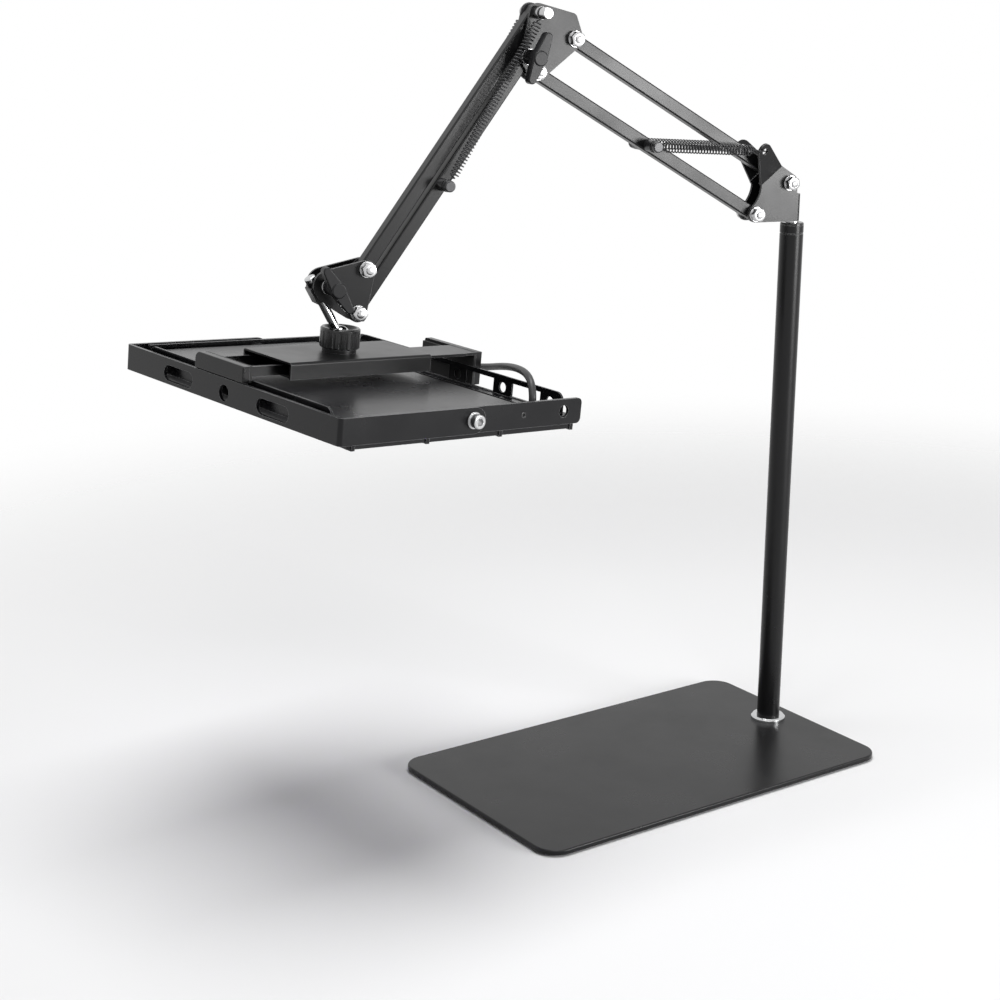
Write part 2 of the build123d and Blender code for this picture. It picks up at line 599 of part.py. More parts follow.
def yoke_cheek():
    """One side of the yoke, flat, on the +Y side."""
    web_top = YOKE_FLOOR + YOKE_WEB_HEIGHT
    corner = -PLATE_THICKNESS
    points = [(corner, YOKE_FLOOR), (corner, web_top), FOLD_BACK, FOLD_FRONT]
    circles = [(x, z, SHARP) for x, z in points]
    circles += [(*SHOULDER_UPPER, YOKE_UPPER_LOBE), (*SHOULDER_LOWER, YOKE_LOWER_LOBE)]
    cut = away(SHOULDER_LOWER, FRONT_CUT_RADIUS + YOKE_LOWER_LOBE, FRONT_CUT_ANGLE)
    face = hull(circles) - Pos(*cut) * Circle(FRONT_CUT_RADIUS)
    for pivot in (SHOULDER_UPPER, SHOULDER_LOWER):
        face -= Pos(*pivot) * Circle(M6_RADIUS + TIGHT)
    return slab(face, PLATE_INNER, PLATE_OUTER)


def shoulder_yoke():
    depth = YOKE_BEND_RADIUS + 2 * PLATE_THICKNESS
    outer = Pos(YOKE_BACK - depth, 0) * Rectangle(2 * depth, 2 * PLATE_OUTER)
    inner = Pos(YOKE_BACK - PLATE_THICKNESS - depth, 0) * Rectangle(2 * depth, 2 * PLATE_INNER)
    outer = fillet(outer.vertices().sort_by(Axis.X)[-2:], YOKE_BEND_RADIUS)
    inner = fillet(inner.vertices().sort_by(Axis.X)[-2:], YOKE_BEND_RADIUS - PLATE_THICKNESS)
    front = Pos(YOKE_BACK - 2 * depth, 0) * Rectangle(2 * depth, 4 * PLATE_OUTER)
    web = extrude(Pos(0, 0, YOKE_FLOOR) * (outer - inner - front), YOKE_WEB_HEIGHT)
    half = yoke_cheek() + yoke_ear()
    return ARM * (web + half + mirrored(half))


def yoke_spindle():
    foot = POLE_LENGTH - BUSH_DEPTH + BUSH_FLOOR
    spindle = Pos(0, 0, foot) * Cylinder(SPINDLE_RADIUS, YOKE_FLOOR - foot, align=LOW)
    spindle = chamfer(spindle.edges().sort_by(Axis.Z)[0], SPINDLE_TIP_CHAMFER)
    inner = YOKE_BACK - PLATE_THICKNESS
    side = PLATE_INNER - (YOKE_BEND_RADIUS - PLATE_THICKNESS)
    tongue = block((inner - TONGUE_DEPTH, -side, YOKE_FLOOR), (inner, side, YOKE_FLOOR + TONGUE_HEIGHT))
    return ARM * (spindle + tongue)


# ---- fasteners of the arm ----
def bolts(*pivots):
    """Hexagon bolts, heads on the far side."""
    made = []
    for pivot in pivots:
        shank = rod(pivot, M6_RADIUS, -WASHER_OUTER - M6_NUT_HEIGHT, WASHER_OUTER)
        head = hexagon(pivot, M6_NUT_FLATS, WASHER_OUTER, WASHER_OUTER + M6_HEAD_HEIGHT)
        made.append(ARM * (shank + head))
    return made


def nuts(*pivots):
    """Steel washers on both sides and a nut on the near side of each bolt."""
    made = []
    for pivot in pivots:
        washer = ring(pivot, M6_WASHER_RADIUS, M6_RADIUS, PLATE_OUTER, WASHER_OUTER)
        nut = hexagon(pivot, M6_NUT_FLATS, -WASHER_OUTER - M6_NUT_HEIGHT, -WASHER_OUTER)
        nut -= rod(pivot, M6_RADIUS, -WASHER_OUTER - M6_NUT_HEIGHT, -WASHER_OUTER)
        made += [ARM * washer, ARM * mirrored(washer), ARM * nut]
    return made


# ---- bars ----
def bar_body(start, end, inset):
    """A square bar with round ends about its pivots, inset all round."""
    length = math.dist(start, end)
    half = BAR_SIZE / 2 - inset
    face = SlotCenterToCenter(length, 2 * (BAR_END_RADIUS - inset))
    face &= Rectangle(2 * length, 2 * half)
    angle = math.degrees(math.atan2(end[1] - start[1], end[0] - start[0]))
    middle = ((start[0] + end[0]) / 2, (start[1] + end[1]) / 2)
    return slab(Pos(*middle) * Rot(0, 0, angle) * face, -half, half)


def bar(start, end, holes):
    """A square tube, its corners rounded, with holes of (point, radius) across it."""
    angle = math.degrees(math.atan2(end[1] - start[1], end[0] - start[0]))
    length = math.dist(start, end)
    outer = RectangleRounded(BAR_SIZE, BAR_SIZE, BAR_EDGE_ROUND)
    inner = Rectangle(BAR_SIZE - 2 * BAR_WALL, BAR_SIZE - 2 * BAR_WALL)
    run = length + 2 * BAR_END_RADIUS
    middle = Pos((start[0] + end[0]) / 2, 0, (start[1] + end[1]) / 2)
    line = middle * Rot(0, -angle, 0) * Rot(0, 90, 0) * Pos(0, 0, -run / 2)
    tube = line * (extrude(outer, run) - extrude(inner, run))
    tube &= bar_body(start, end, 0)
    for point, radius in holes:
        tube -= rod(point, radius, -BAR_SIZE, BAR_SIZE)
    return ARM * tube


def bar_bushes(start, end, radii):
    """Nylon plugs that fill the tube's ends and run on the pivot bolts, with a flange on each side."""
    body = bar_body(start, end, BAR_WALL)
    made = []
    for point, radius in zip((start, end), radii):
        plug = body & slab(Pos(*point) * Circle(BAR_BUSH_LENGTH), -BAR_SIZE, BAR_SIZE)
        made.append(ARM * (plug - rod(point, radius, -BAR_SIZE, BAR_SIZE)))
        flange = ring(point, NYLON_RADIUS, radius, BAR_SIZE / 2, BAR_SIZE / 2 + NYLON_THICKNESS)
        made += [ARM * piece for piece in pair(flange)]
    return made


def upper_bar(start, end):
    wide = M6_RADIUS + OPEN_PIVOT + TIGHT
    return bar(start, end, [(start, wide), (end, wide)])


def lower_bar(start, end, pin):
    wide = M6_RADIUS + OPEN_PIVOT + TIGHT
    return bar(start, end, [(start, wide), (end, wide), (pin, M6_RADIUS)])


# ---- springs ----
def pin_end(point, start, station, cap_length):
    """The sleeve and the cap that keep a spring's eye on a pin, on the +Y side."""
    cap_start = station + EYE_ROOM
    sleeve = ring(point, PIN_SLEEVE_RADIUS, M6_RADIUS, start, station - EYE_ROOM)
    cap = rod(point, PIN_CAP_RADIUS, cap_start, cap_start + cap_length)
    cap = fillet(cap.edges().sort_by(Axis.Y)[-1], PIN_CAP_ROUND)
    cap -= rod(point, M6_RADIUS, cap_start, cap_start + cap_length - PIN_CAP_ROUND)
    return sleeve, cap


def spring_pin(point, start, far_station, cap_length):
    """A cross pin with a sleeve, an eye's room and a cap at each end."""
    near = SPRING_STATION + EYE_ROOM + cap_length - PIN_CAP_ROUND
    far = far_station + EYE_ROOM + FAR_CAP_LENGTH - PIN_CAP_ROUND
    near_end = [mirrored(piece) for piece in pin_end(point, start, SPRING_STATION, cap_length)]
    far_end = pin_end(point, start, far_station, FAR_CAP_LENGTH)
    return [ARM * piece for piece in (rod(point, M6_RADIUS, -near, far), *near_end, *far_end)]


def rounded_wire(start, end, radius):
    """A straight round wire between two points in space."""
    axis = Vector(*end) - Vector(*start)
    return Plane(origin=start, z_dir=axis) * Cylinder(radius, axis.length, align=LOW)


def spring_between(start, end, station, ear_end=False):
    """A tension spring on the +Y side: an eye at each end and the coil's outer form between."""
    run = math.dist(start, end)
    step = ((end[0] - start[0]) / run, (end[1] - start[1]) / run)

    def spot(distance):
        return start[0] + step[0] * distance, station, start[1] + step[1] * distance

    eye = Torus(SPRING_EYE_RADIUS, SPRING_WIRE_RADIUS)
    first = Pos(*spot(0)) * Rot(90, 0, 0) * eye
    clear = SPRING_EYE_RADIUS + SPRING_EYE_GAP
    if ear_end:
        across = Plane(origin=spot(run - SPRING_EYE_RADIUS), x_dir=(step[0], 0, step[1]),
                       z_dir=(-step[1], 0, step[0]))
        last = across * eye
        finish = run - SPRING_EYE_RADIUS
    else:
        last = Pos(*spot(run)) * Rot(90, 0, 0) * eye
        finish = run
    coil = rounded_wire(spot(clear), spot(finish - clear), SPRING_RADIUS)
    wire = rounded_wire(spot(SPRING_EYE_RADIUS), spot(finish - SPRING_EYE_RADIUS), SPRING_WIRE_RADIUS)
    return coil + wire + first + last


def ear_hole():
    """The spring hole's place in the arm's plane, after the ear is bent."""
    reach = EAR_REACH * math.cos(math.radians(EAR_BEND))
    return away(away(FOLD_BACK, EAR_HOLE_ALONG, FOLD_ANGLE), reach, FOLD_ANGLE - 90)


def rear_springs():
    spring = spring_between(REAR_PIN, ear_hole(), SPRING_STATION, True)
    return [ARM * spring, ARM * mirrored(spring)]


def front_springs():
    """The far one sits closer to the plates than the near one."""
    ends = (ELBOW_FRONT_UPPER, FRONT_PIN)
    near = spring_between(*ends, SPRING_STATION)
    return [ARM * mirrored(near), ARM * spring_between(*ends, FRONT_FAR_STATION)]


# ---- elbow ----
def elbow_plate():
    crest = away(ELBOW_REAR_UPPER, ELBOW_CREST_SPACING, ELBOW_CREST_ANGLE)
    pivots = (ELBOW_REAR_UPPER, ELBOW_REAR_LOWER, ELBOW_FRONT_UPPER, ELBOW_FRONT_LOWER)
    face = hull([(*pivot, LOBE_RADIUS) for pivot in pivots] + [(*crest, ELBOW_CREST_RADIUS)])
    for pivot in pivots:
        face -= Pos(*pivot) * Circle(M6_RADIUS + TIGHT)
    return slab(face, PLATE_INNER, PLATE_OUTER)


def clamp_bolt(point):
    """A domed carriage bolt, head on the far side, with a washer under the wing nut."""
    reach = WASHER_OUTER + WING_SOCKET_LENGTH - TIGHT
    dome = turned_dome(CARRIAGE_HEAD_RADIUS, CARRIAGE_HEAD_HEIGHT)
    head = Pos(point[0], PLATE_OUTER, point[1]) * Rot(-90, 0, 0) * dome
    washer = ring(point, M6_WASHER_RADIUS, M6_RADIUS, PLATE_OUTER, WASHER_OUTER)
    return [ARM * (rod(point, M6_RADIUS, -reach, PLATE_OUTER) + head), ARM * mirrored(washer)]


def turned_dome(radius, height):
    """A domed head standing on Z = 0."""
    sphere_radius = (radius ** 2 + height ** 2) / (2 * height)
    ball = Pos(0, 0, height - sphere_radius) * Sphere(sphere_radius)
    return ball & Cylinder(radius, height, align=LOW)


def wing_nut(point, angle):
    """A moulded wing nut on the near side, its wings at an angle in the arm's plane."""
    inner = WASHER_OUTER + SIDE_PLAY
    hub = rod(point, WING_HUB_RADIUS, -inner - WING_HUB_LENGTH, -inner)
    hub = fillet(hub.edges().sort_by(Axis.Y)[0], PIN_CAP_ROUND)
    tip = WING_HALF_SPAN - WING_TIP_RADIUS
    tips = [(*away(point, reach, angle), WING_TIP_RADIUS) for reach in (-tip, tip)]
    start = inner + WING_START
    wings = slab(hull([(*point, WING_HUB_RADIUS), *tips]), -start - WING_DEPTH, -start)
    wings = fillet(wings.faces().sort_by(Axis.Y)[0].edges(), PIN_CAP_ROUND)
    bore = rod(point, M6_RADIUS + RUN, -inner - WING_SOCKET_LENGTH, -inner)
    return ARM * (hub + wings - bore)


def elbow_fasteners():
    rear = (ELBOW_REAR_UPPER, ELBOW_REAR_LOWER)
    return bolts(*rear) + nuts(*rear) + clamp_bolt(ELBOW_FRONT_LOWER)


# ---- head ----
def head_fasteners():
    return bolts(HEAD_UPPER, HEAD_LOWER) + nuts(HEAD_UPPER, HEAD_LOWER) + clamp_bolt(HEAD_CLAMP)


def head_plate():
    circles = [(*HEAD_UPPER, LOBE_RADIUS), (*HEAD_LOWER, LOBE_RADIUS), (*HEAD_CLAMP, HEAD_CLAMP_LOBE)]
    face = hull(circles)
    for pivot in (HEAD_UPPER, HEAD_LOWER, HEAD_CLAMP):
        face -= Pos(*pivot) * Circle(M6_RADIUS + TIGHT)
    return slab(face, PLATE_INNER, PLATE_OUTER)


def stud_line():
    """Places a piece drawn along Z on the stud, from the ball's centre."""
    return Pos(BALL[0], 0, BALL[1]) * Rot(0, -STUD_LEAN, 0)


def pivot_block():
    half = PLATE_INNER - SIDE_PLAY
    body = block((-BLOCK_HALF_WIDTH, -half, BLOCK_START), (BLOCK_HALF_WIDTH, half, BLOCK_END))
    body = fillet(body.edges().filter_by(Axis.Y), PIN_CAP_ROUND)
    body = stud_line() * (body - Cylinder(STUD_RADIUS + RUN, BLOCK_END, align=LOW))
    knuckle = rod(HEAD_CLAMP, BLOCK_RADIUS, -half, half)
    knuckle -= stud_line() * Cylinder(STUD_RADIUS + RUN, BLOCK_END, align=LOW)
    knuckle -= stud_line() * Pos(0, 0, BLOCK_END) * Cylinder(STUD_CAP_RADIUS + CLEAR, BLOCK_END, align=LOW)
    return ARM * (body + knuckle - rod(HEAD_CLAMP, M6_RADIUS + RUN, -BAR_SIZE, BAR_SIZE))


def ball_stud():
    top = BLOCK_END + SIDE_PLAY + STUD_SLEEVE_LENGTH + STUD_CAP_LENGTH - STUD_CAP_ROUND
    neck = Cylinder(STUD_NECK_RADIUS, STUD_NECK_END, align=LOW)
    shaft = Pos(0, 0, STUD_NECK_END) * Cylinder(STUD_RADIUS, top - STUD_NECK_END, align=LOW)
    return ARM * stud_line() * (Sphere(BALL_RADIUS) + neck + shaft)


def stud_sleeve():
    start = BLOCK_END + SIDE_PLAY
    sleeve = Cylinder(STUD_SLEEVE_RADIUS, STUD_SLEEVE_LENGTH, align=LOW)
    sleeve -= Cylinder(STUD_RADIUS, STUD_SLEEVE_LENGTH, align=LOW)
    return ARM * stud_line() * Pos(0, 0, start) * sleeve


def stud_cap_nut():
    start = BLOCK_END + SIDE_PLAY + STUD_SLEEVE_LENGTH
    cap = Cylinder(STUD_CAP_RADIUS, STUD_CAP_LENGTH, align=LOW)
    cap = fillet(cap.edges().sort_by(Axis.Z)[-1], STUD_CAP_ROUND)
    cap -= Cylinder(STUD_RADIUS, STUD_CAP_LENGTH - STUD_CAP_ROUND, align=LOW)
    return ARM * stud_line() * Pos(0, 0, start) * cap


# ---- ball joint ----

def ball_seat():
    seat = Pos(0, 0, SEAT_BOTTOM) * Cylinder(SEAT_RADIUS, SEAT_TOP - SEAT_BOTTOM, align=LOW)
    return LAMP * (seat - Pos(0, 0, BALL_HEIGHT) * Sphere(BALL_RADIUS + RUN))


def ball_socket():
    bore = SEAT_RADIUS + RUN
    profile = [(0, -SPIGOT_LENGTH), (SPIGOT_RADIUS, -SPIGOT_LENGTH), (SPIGOT_RADIUS, 0)]
    profile += [(SOCKET_FLANGE_RADIUS, 0), (SOCKET_FLANGE_RADIUS, SOCKET_FLANGE_HEIGHT)]
    profile += [(SOCKET_RADIUS, SOCKET_FLANGE_HEIGHT), (SOCKET_RADIUS, SOCKET_RIM)]
    profile += [(bore, SOCKET_RIM), (bore, SOCKET_FLOOR), (0, SOCKET_FLOOR)]
    return LAMP * turned(profile)


def socket_nut():
    nut = extrude(RegularPolygon(SPIGOT_NUT_FLATS / 2, 6, major_radius=False), -SPIGOT_NUT_HEIGHT)
    nut -= Cylinder(SPIGOT_RADIUS, 2 * SPIGOT_NUT_HEIGHT)
    return LAMP * Pos(0, 0, -CLAMP_SHEET) * nut


def lock_collar():
    bore = SOCKET_RADIUS + RUN
    foot = SOCKET_FLANGE_HEIGHT + CLEAR
    lip = SEAT_TOP + SIDE_PLAY
    edge = COLLAR_RADIUS - COLLAR_EDGE_ROUND
    profile = [(bore, foot), (edge, foot), (COLLAR_RADIUS, foot + COLLAR_EDGE_ROUND)]
    profile += [(COLLAR_RADIUS, COLLAR_TOP - COLLAR_EDGE_ROUND), (edge, COLLAR_TOP)]
    profile += [(COLLAR_MOUTH_RADIUS, COLLAR_TOP), (COLLAR_THROAT_RADIUS, lip), (bore, lip)]
    collar = turned(profile)
    reach = COLLAR_RADIUS + COLLAR_FLUTE_RADIUS - COLLAR_FLUTE_DEPTH
    height = COLLAR_TOP - foot - 3 * COLLAR_EDGE_ROUND
    for number in range(COLLAR_FLUTES):
        turn = Rot(0, 0, 360 * number / COLLAR_FLUTES)
        place = Pos(reach, 0, foot)
        collar -= turn * place * Cylinder(COLLAR_FLUTE_RADIUS, height, align=LOW)
    return LAMP * collar


# ---- spring clamp ----
def clamp_plate():
    outer = Pos(0, -CLAMP_DEPTH / 2) * Rectangle(CLAMP_WIDTH, CLAMP_DEPTH)
    outer = fillet(outer.vertices().sort_by(Axis.Y)[-2:], CLAMP_BEND_RADIUS)
    inner = Pos(0, -CLAMP_SHEET - CLAMP_DEPTH / 2) * Rectangle(CLAMP_WIDTH - 2 * CLAMP_SHEET, CLAMP_DEPTH)
    inner = fillet(inner.vertices().sort_by(Axis.Y)[-2:], CLAMP_BEND_RADIUS - CLAMP_SHEET)
    section = Plane.YZ.offset(-CLAMP_LENGTH / 2) * (outer - inner)
    plate = extrude(section, CLAMP_LENGTH) - Cylinder(SPIGOT_RADIUS + TIGHT, 2 * CLAMP_DEPTH)
    return LAMP * plate


def clamp_floor():
    side = CLAMP_WIDTH / 2 - CLAMP_SHEET
    end = CLAMP_LENGTH / 2 - CLAMP_FLOOR_INSET
    anchor = block((ANCHOR_STATION - CLAMP_TAB_THICKNESS, ANCHOR_NEAR, CLAMP_FLOOR_TOP),
                   (ANCHOR_STATION, ANCHOR_FAR, -RAIL_BAR_TOP))
    return LAMP * (block((-end, -side, -CLAMP_DEPTH), (end, side, CLAMP_FLOOR_TOP)) + anchor)


def clamp_guides():
    made = []
    top = -CLAMP_SHEET
    bottom = TONGUE_BOTTOM - SIDE_PLAY - GUIDE_LIP_THICKNESS
    end = CLAMP_LENGTH / 2 - CLAMP_FLOOR_INSET
    for edge, out in ((TONGUE_NEAR - CLEAR, -1), (TONGUE_FAR + CLEAR, 1)):
        spans = sorted((edge, edge + out * GUIDE_WIDTH))
        wall = block((GUIDE_START, spans[0], bottom), (end, spans[1], top))
        lips = sorted((edge - out * GUIDE_LIP, edge))
        lip = block((GUIDE_START, lips[0], bottom), (end, lips[1], bottom + GUIDE_LIP_THICKNESS))
        made.append(LAMP * (wall + lip))
    return made


def jaw_block(low, high, rounds):
    """A moulded jaw with its far top corner well rounded and every edge broken."""
    jaw = block(low, high)
    corner = jaw.edges().filter_by(Axis.X).sort_by(lambda edge: edge.center().Y + edge.center().Z)[-1]
    jaw = fillet(corner, rounds)
    side = jaw.faces().sort_by(Axis.X)[0 if low[0] < 0 else -1]
    return fillet(side.edges(), JAW_EDGE_ROUND)


def rail_bars(start, end):
    """The two bars that carry the left jaw, between two stations."""
    half = RAIL_BAR_THICKNESS / 2
    return [block((start, v - half, CLAMP_FLOOR_TOP), (end, v + half, -RAIL_BAR_TOP))
            for v in RAIL_BAR_STATIONS]


def left_jaw():
    low = (LEFT_JAW_INNER - LEFT_JAW_THICKNESS, -LEFT_JAW_NEAR, JAW_BOTTOM)
    jaw = jaw_block(low, (LEFT_JAW_INNER, LEFT_JAW_FAR, -JAW_TOP), JAW_CORNER_RADIUS)
    return LAMP * (jaw + rail_bars(LEFT_JAW_INNER, -RAIL_BAR_INNER))


def left_jaw_pad():
    high = (SINK_LEFT - SIDE_PLAY, LEFT_JAW_FAR, -JAW_TOP)
    pad = block((LEFT_JAW_INNER, -LEFT_JAW_NEAR, JAW_BOTTOM), high)
    corner = pad.edges().filter_by(Axis.X).sort_by(lambda edge: edge.center().Y + edge.center().Z)[-1]
    return LAMP * (fillet(corner, JAW_CORNER_RADIUS) - rail_bars(LEFT_JAW_INNER, SINK_LEFT))


def right_jaw():
    low = (RIGHT_JAW_INNER, -RIGHT_JAW_NEAR, RIGHT_JAW_BOTTOM)
    high = (RIGHT_JAW_INNER + RIGHT_JAW_THICKNESS, RIGHT_JAW_FAR, -JAW_TOP)
    jaw = jaw_block(low, high, 2 * JAW_EDGE_ROUND)
    tongue = block((TONGUE_INNER, TONGUE_NEAR, TONGUE_BOTTOM), (RIGHT_JAW_INNER, TONGUE_FAR, -TONGUE_TOP))
    notch = block((RAIL_OUT - JAW_TRAVEL, TONGUE_NEAR, TONGUE_BOTTOM),
                  (RIGHT_JAW_INNER, -RIGHT_JAW_NEAR, -TONGUE_TOP))
    hook = block((TONGUE_INNER, TONGUE_NEAR + GUIDE_LIP + CLEAR, CLAMP_TAB_BOTTOM),
                 (TONGUE_INNER + CLAMP_TAB_THICKNESS, TONGUE_FAR - GUIDE_LIP - CLEAR, TONGUE_BOTTOM))
    return LAMP * (jaw + (tongue - notch) + hook)


def right_jaw_pad():
    high = (RIGHT_JAW_INNER, RIGHT_JAW_FAR, TONGUE_BOTTOM)
    low = (RIGHT_JAW_INNER - RIGHT_PAD_THICKNESS, -RIGHT_JAW_NEAR, RIGHT_JAW_BOTTOM)
    return LAMP * block(low, high)


def clamp_springs():
    made = []
    for v in CLAMP_SPRING_STATIONS:
        line = Pos(ANCHOR_STATION, v, CLAMP_SPRING_LEVEL) * Rot(0, 90, 0)
        made.append(LAMP * line * Cylinder(CLAMP_SPRING_RADIUS, TONGUE_INNER - ANCHOR_STATION, align=LOW))
    return made


# ---- lamp ----
def side_plate():
    """The far side plate about the lamp's middle plane."""
    outline = Pos((SIDE_LEFT + SIDE_RIGHT) / 2, (SIDE_TOP + SIDE_BOTTOM) / 2)
    face = outline * Rectangle(SIDE_RIGHT - SIDE_LEFT, SIDE_TOP - SIDE_BOTTOM)
    face = fillet(face.vertices().sort_by(Axis.X)[-2:], SIDE_CORNER_RADIUS)
    face -= Pos(BRACKET_PIVOT_STATION, BRACKET_PIVOT_LEVEL) * Circle(M6_RADIUS + TIGHT)
    face -= Pos(SIDE_SCREW_STATION, SIDE_SCREW_LEVEL) * Circle(SIDE_SCREW_SHANK + TIGHT)
    face -= Pos(SIDE_HOLE_STATION, SIDE_SCREW_LEVEL) * Circle(SIDE_HOLE_RADIUS)
    return slab(face, SIDE_HALF_SPAN - SIDE_SHEET, SIDE_HALF_SPAN)


def in_lamp(solid):
    """Places a piece drawn about the lamp's middle plane."""
    return LAMP * Pos(0, LAMP_MIDDLE, 0) * solid


def side_screws():
    """The screws that hold the side plates to the sink's turned-up tabs."""
    inner = SIDE_HALF_SPAN - SIDE_SHEET - SINK_TAB_SHEET
    point = (SIDE_SCREW_STATION, SIDE_SCREW_LEVEL)
    head = rod(point, SIDE_SCREW_RADIUS, SIDE_HALF_SPAN, SIDE_HALF_SPAN + SIDE_SCREW_HEAD)
    head = fillet(head.edges().sort_by(Axis.Y)[-1], SIDE_SCREW_HEAD / 2)
    screw = head + rod(point, SIDE_SCREW_SHANK, inner, SIDE_HALF_SPAN)
    return [in_lamp(piece) for piece in pair(screw)]


def heat_sink_plate():
    half = SIDE_HALF_SPAN - SIDE_SHEET
    edge = half - SINK_SIDE_GAP
    plate = block((SINK_LEFT, -edge, SINK_BOTTOM), (SINK_RIGHT, edge, SINK_TOP))
    top = SIDE_SCREW_LEVEL + SIDE_SCREW_RADIUS + SIDE_SCREW_HEAD
    for u in SINK_TAB_STATIONS:
        tab = block((u - SINK_TAB_HALF_LENGTH, half - SINK_TAB_SHEET, SINK_BOTTOM),
                    (u + SINK_TAB_HALF_LENGTH, half, top))
        tab -= rod((SIDE_SCREW_STATION, SIDE_SCREW_LEVEL), SIDE_SCREW_SHANK, 0, SIDE_HALF_SPAN)
        plate += tab
        plate += mirrored(tab)
    return in_lamp(plate)


def strip(out, sheet, top, half_span, foot, side):
    """A turned-up strip on the sink: a wall with round top ends and a foot towards the middle."""
    wall = block((min(out, out - side * sheet), -half_span, SINK_TOP),
                 (max(out, out - side * sheet), half_span, top))
    ends = wall.edges().filter_by(Axis.X).sort_by(Axis.Z)[-2:]
    wall = fillet(ends, STRIP_END_RADIUS)
    spans = sorted((out, out - side * (foot + sheet)))
    return wall + block((spans[0], -half_span, SINK_TOP), (spans[1], half_span, SINK_TOP + sheet))


def left_flange():
    return in_lamp(strip(SINK_LEFT, FLANGE_SHEET, FLANGE_TOP, FLANGE_HALF_SPAN,
                         COVER_LEFT - SINK_LEFT - FLANGE_SHEET - CLEAR, -1))


def lamp_rail():
    rail = strip(RAIL_OUT, RAIL_SHEET, RAIL_TOP, RAIL_HALF_SPAN, RAIL_FOOT, 1)
    middle = Pos(RAIL_OUT, RAIL_HOLE_SHIFT, RAIL_HOLE_LEVEL)
    hole = Rot(0, 90, 0) * Cylinder(RAIL_HOLE_RADIUS, 3 * RAIL_SHEET)
    window = Box(3 * RAIL_SHEET, RAIL_WINDOW_LENGTH, RAIL_WINDOW_HEIGHT)
    for number in range(-2, 3):
        rail -= middle * Pos(0, number * RAIL_PITCH, 0) * hole
    for number in range(-2, 2):
        rail -= middle * Pos(0, (number + 1 / 2) * RAIL_PITCH, 0) * window
    return in_lamp(rail)


def driver_cover():
    low = (COVER_LEFT, -COVER_HALF_SPAN, SINK_TOP)
    high = (COVER_RIGHT, COVER_HALF_SPAN, COVER_TOP)
    shell = block(low, high)
    shell = fillet(shell.faces().sort_by(Axis.Z)[-1].edges(), COVER_EDGE_ROUND)
    inside = block([a + COVER_SHEET for a in low[:2]] + [SINK_TOP], [b - COVER_SHEET for b in high])
    shell -= inside
    lip = block((COVER_RIGHT, -COVER_HALF_SPAN, SINK_TOP), (COVER_RIGHT + 2 * COVER_LIP, COVER_HALF_SPAN,
                SINK_TOP + COVER_SHEET))
    shell += lip
    hole = Cylinder(COVER_SCREW_RADIUS / 2 + TIGHT, 3 * COVER_SHEET)
    for v in cover_screw_places():
        shell -= Pos(COVER_RIGHT + COVER_LIP, v, SINK_TOP) * hole
    return in_lamp(shell)


def cover_screw_places():
    steps = [COVER_SCREW_FIRST + number * COVER_SCREW_PITCH for number in range(COVER_SCREWS_A_SIDE)]
    return sorted(side * step for side in (-1, 1) for step in steps)


def cover_screws():
    made = []
    base = SINK_TOP + COVER_SHEET
    for v in cover_screw_places():
        head = Cylinder(COVER_SCREW_RADIUS, COVER_SCREW_HEAD, align=LOW)
        head = fillet(head.edges().sort_by(Axis.Z)[-1], COVER_SCREW_HEAD / 2)
        shank = Pos(0, 0, -COVER_SHEET) * Cylinder(COVER_SCREW_RADIUS / 2, COVER_SHEET, align=LOW)
        made.append(in_lamp(Pos(COVER_RIGHT + COVER_LIP, v, base) * (head + shank)))
    return made


def led_driver():
    low = (DRIVER_STATION - DRIVER_LENGTH / 2, -DRIVER_WIDTH / 2, SINK_TOP)
    top = COVER_TOP - COVER_SHEET - DRIVER_HEADROOM
    body = block(low, (DRIVER_STATION + DRIVER_LENGTH / 2, DRIVER_WIDTH / 2, top))
    return in_lamp(fillet(body.edges().filter_by(Axis.Z), JAW_CORNER_RADIUS))


def led_frame():
    body = block((FRAME_LEFT, -FRAME_HALF_SPAN, FRAME_BOTTOM), (FRAME_RIGHT, FRAME_HALF_SPAN, SINK_BOTTOM))
    body = fillet(body.edges().filter_by(Axis.Z), CLAMP_BEND_RADIUS)
    pocket = inside_frame(FRAME_WALL, GLASS_BOTTOM, SINK_BOTTOM)
    window = inside_frame(FRAME_WALL + FRAME_LEDGE, FRAME_BOTTOM, SINK_BOTTOM)
    return in_lamp(body - pocket - window)


def inside_frame(inset, bottom, top):
    """A block inset from the frame's outline."""
    low = (FRAME_LEFT + inset, -FRAME_HALF_SPAN + inset, bottom)
    return block(low, (FRAME_RIGHT - inset, FRAME_HALF_SPAN - inset, top))



def glass_window():
    return in_lamp(inside_frame(FRAME_WALL + GLASS_GAP, GLASS_BOTTOM, GLASS_TOP))


def glass_gasket():
    outer = inside_frame(FRAME_WALL + GLASS_GAP, GLASS_TOP, BOARD_BOTTOM)
    return in_lamp(outer - inside_frame(FRAME_WALL + GLASS_GAP + GASKET_WIDTH, GLASS_TOP, BOARD_BOTTOM))


def led_board():
    return in_lamp(inside_frame(FRAME_WALL + BOARD_GAP, BOARD_BOTTOM, SINK_BOTTOM))


def led_chips():
    made = []
    middle = (FRAME_LEFT + FRAME_RIGHT) / 2
    for column in range(CHIP_COLUMNS):
        for row in range(CHIP_ROWS):
            u = middle + (column - (CHIP_COLUMNS - 1) / 2) * CHIP_PITCH
            v = (row - (CHIP_ROWS - 1) / 2) * CHIP_PITCH
            chip = Box(CHIP_SIZE, CHIP_SIZE, CHIP_HEIGHT, align=(Align.CENTER, Align.CENTER, Align.MAX))
            made.append(in_lamp(Pos(u, v, BOARD_BOTTOM) * chip))
    return made


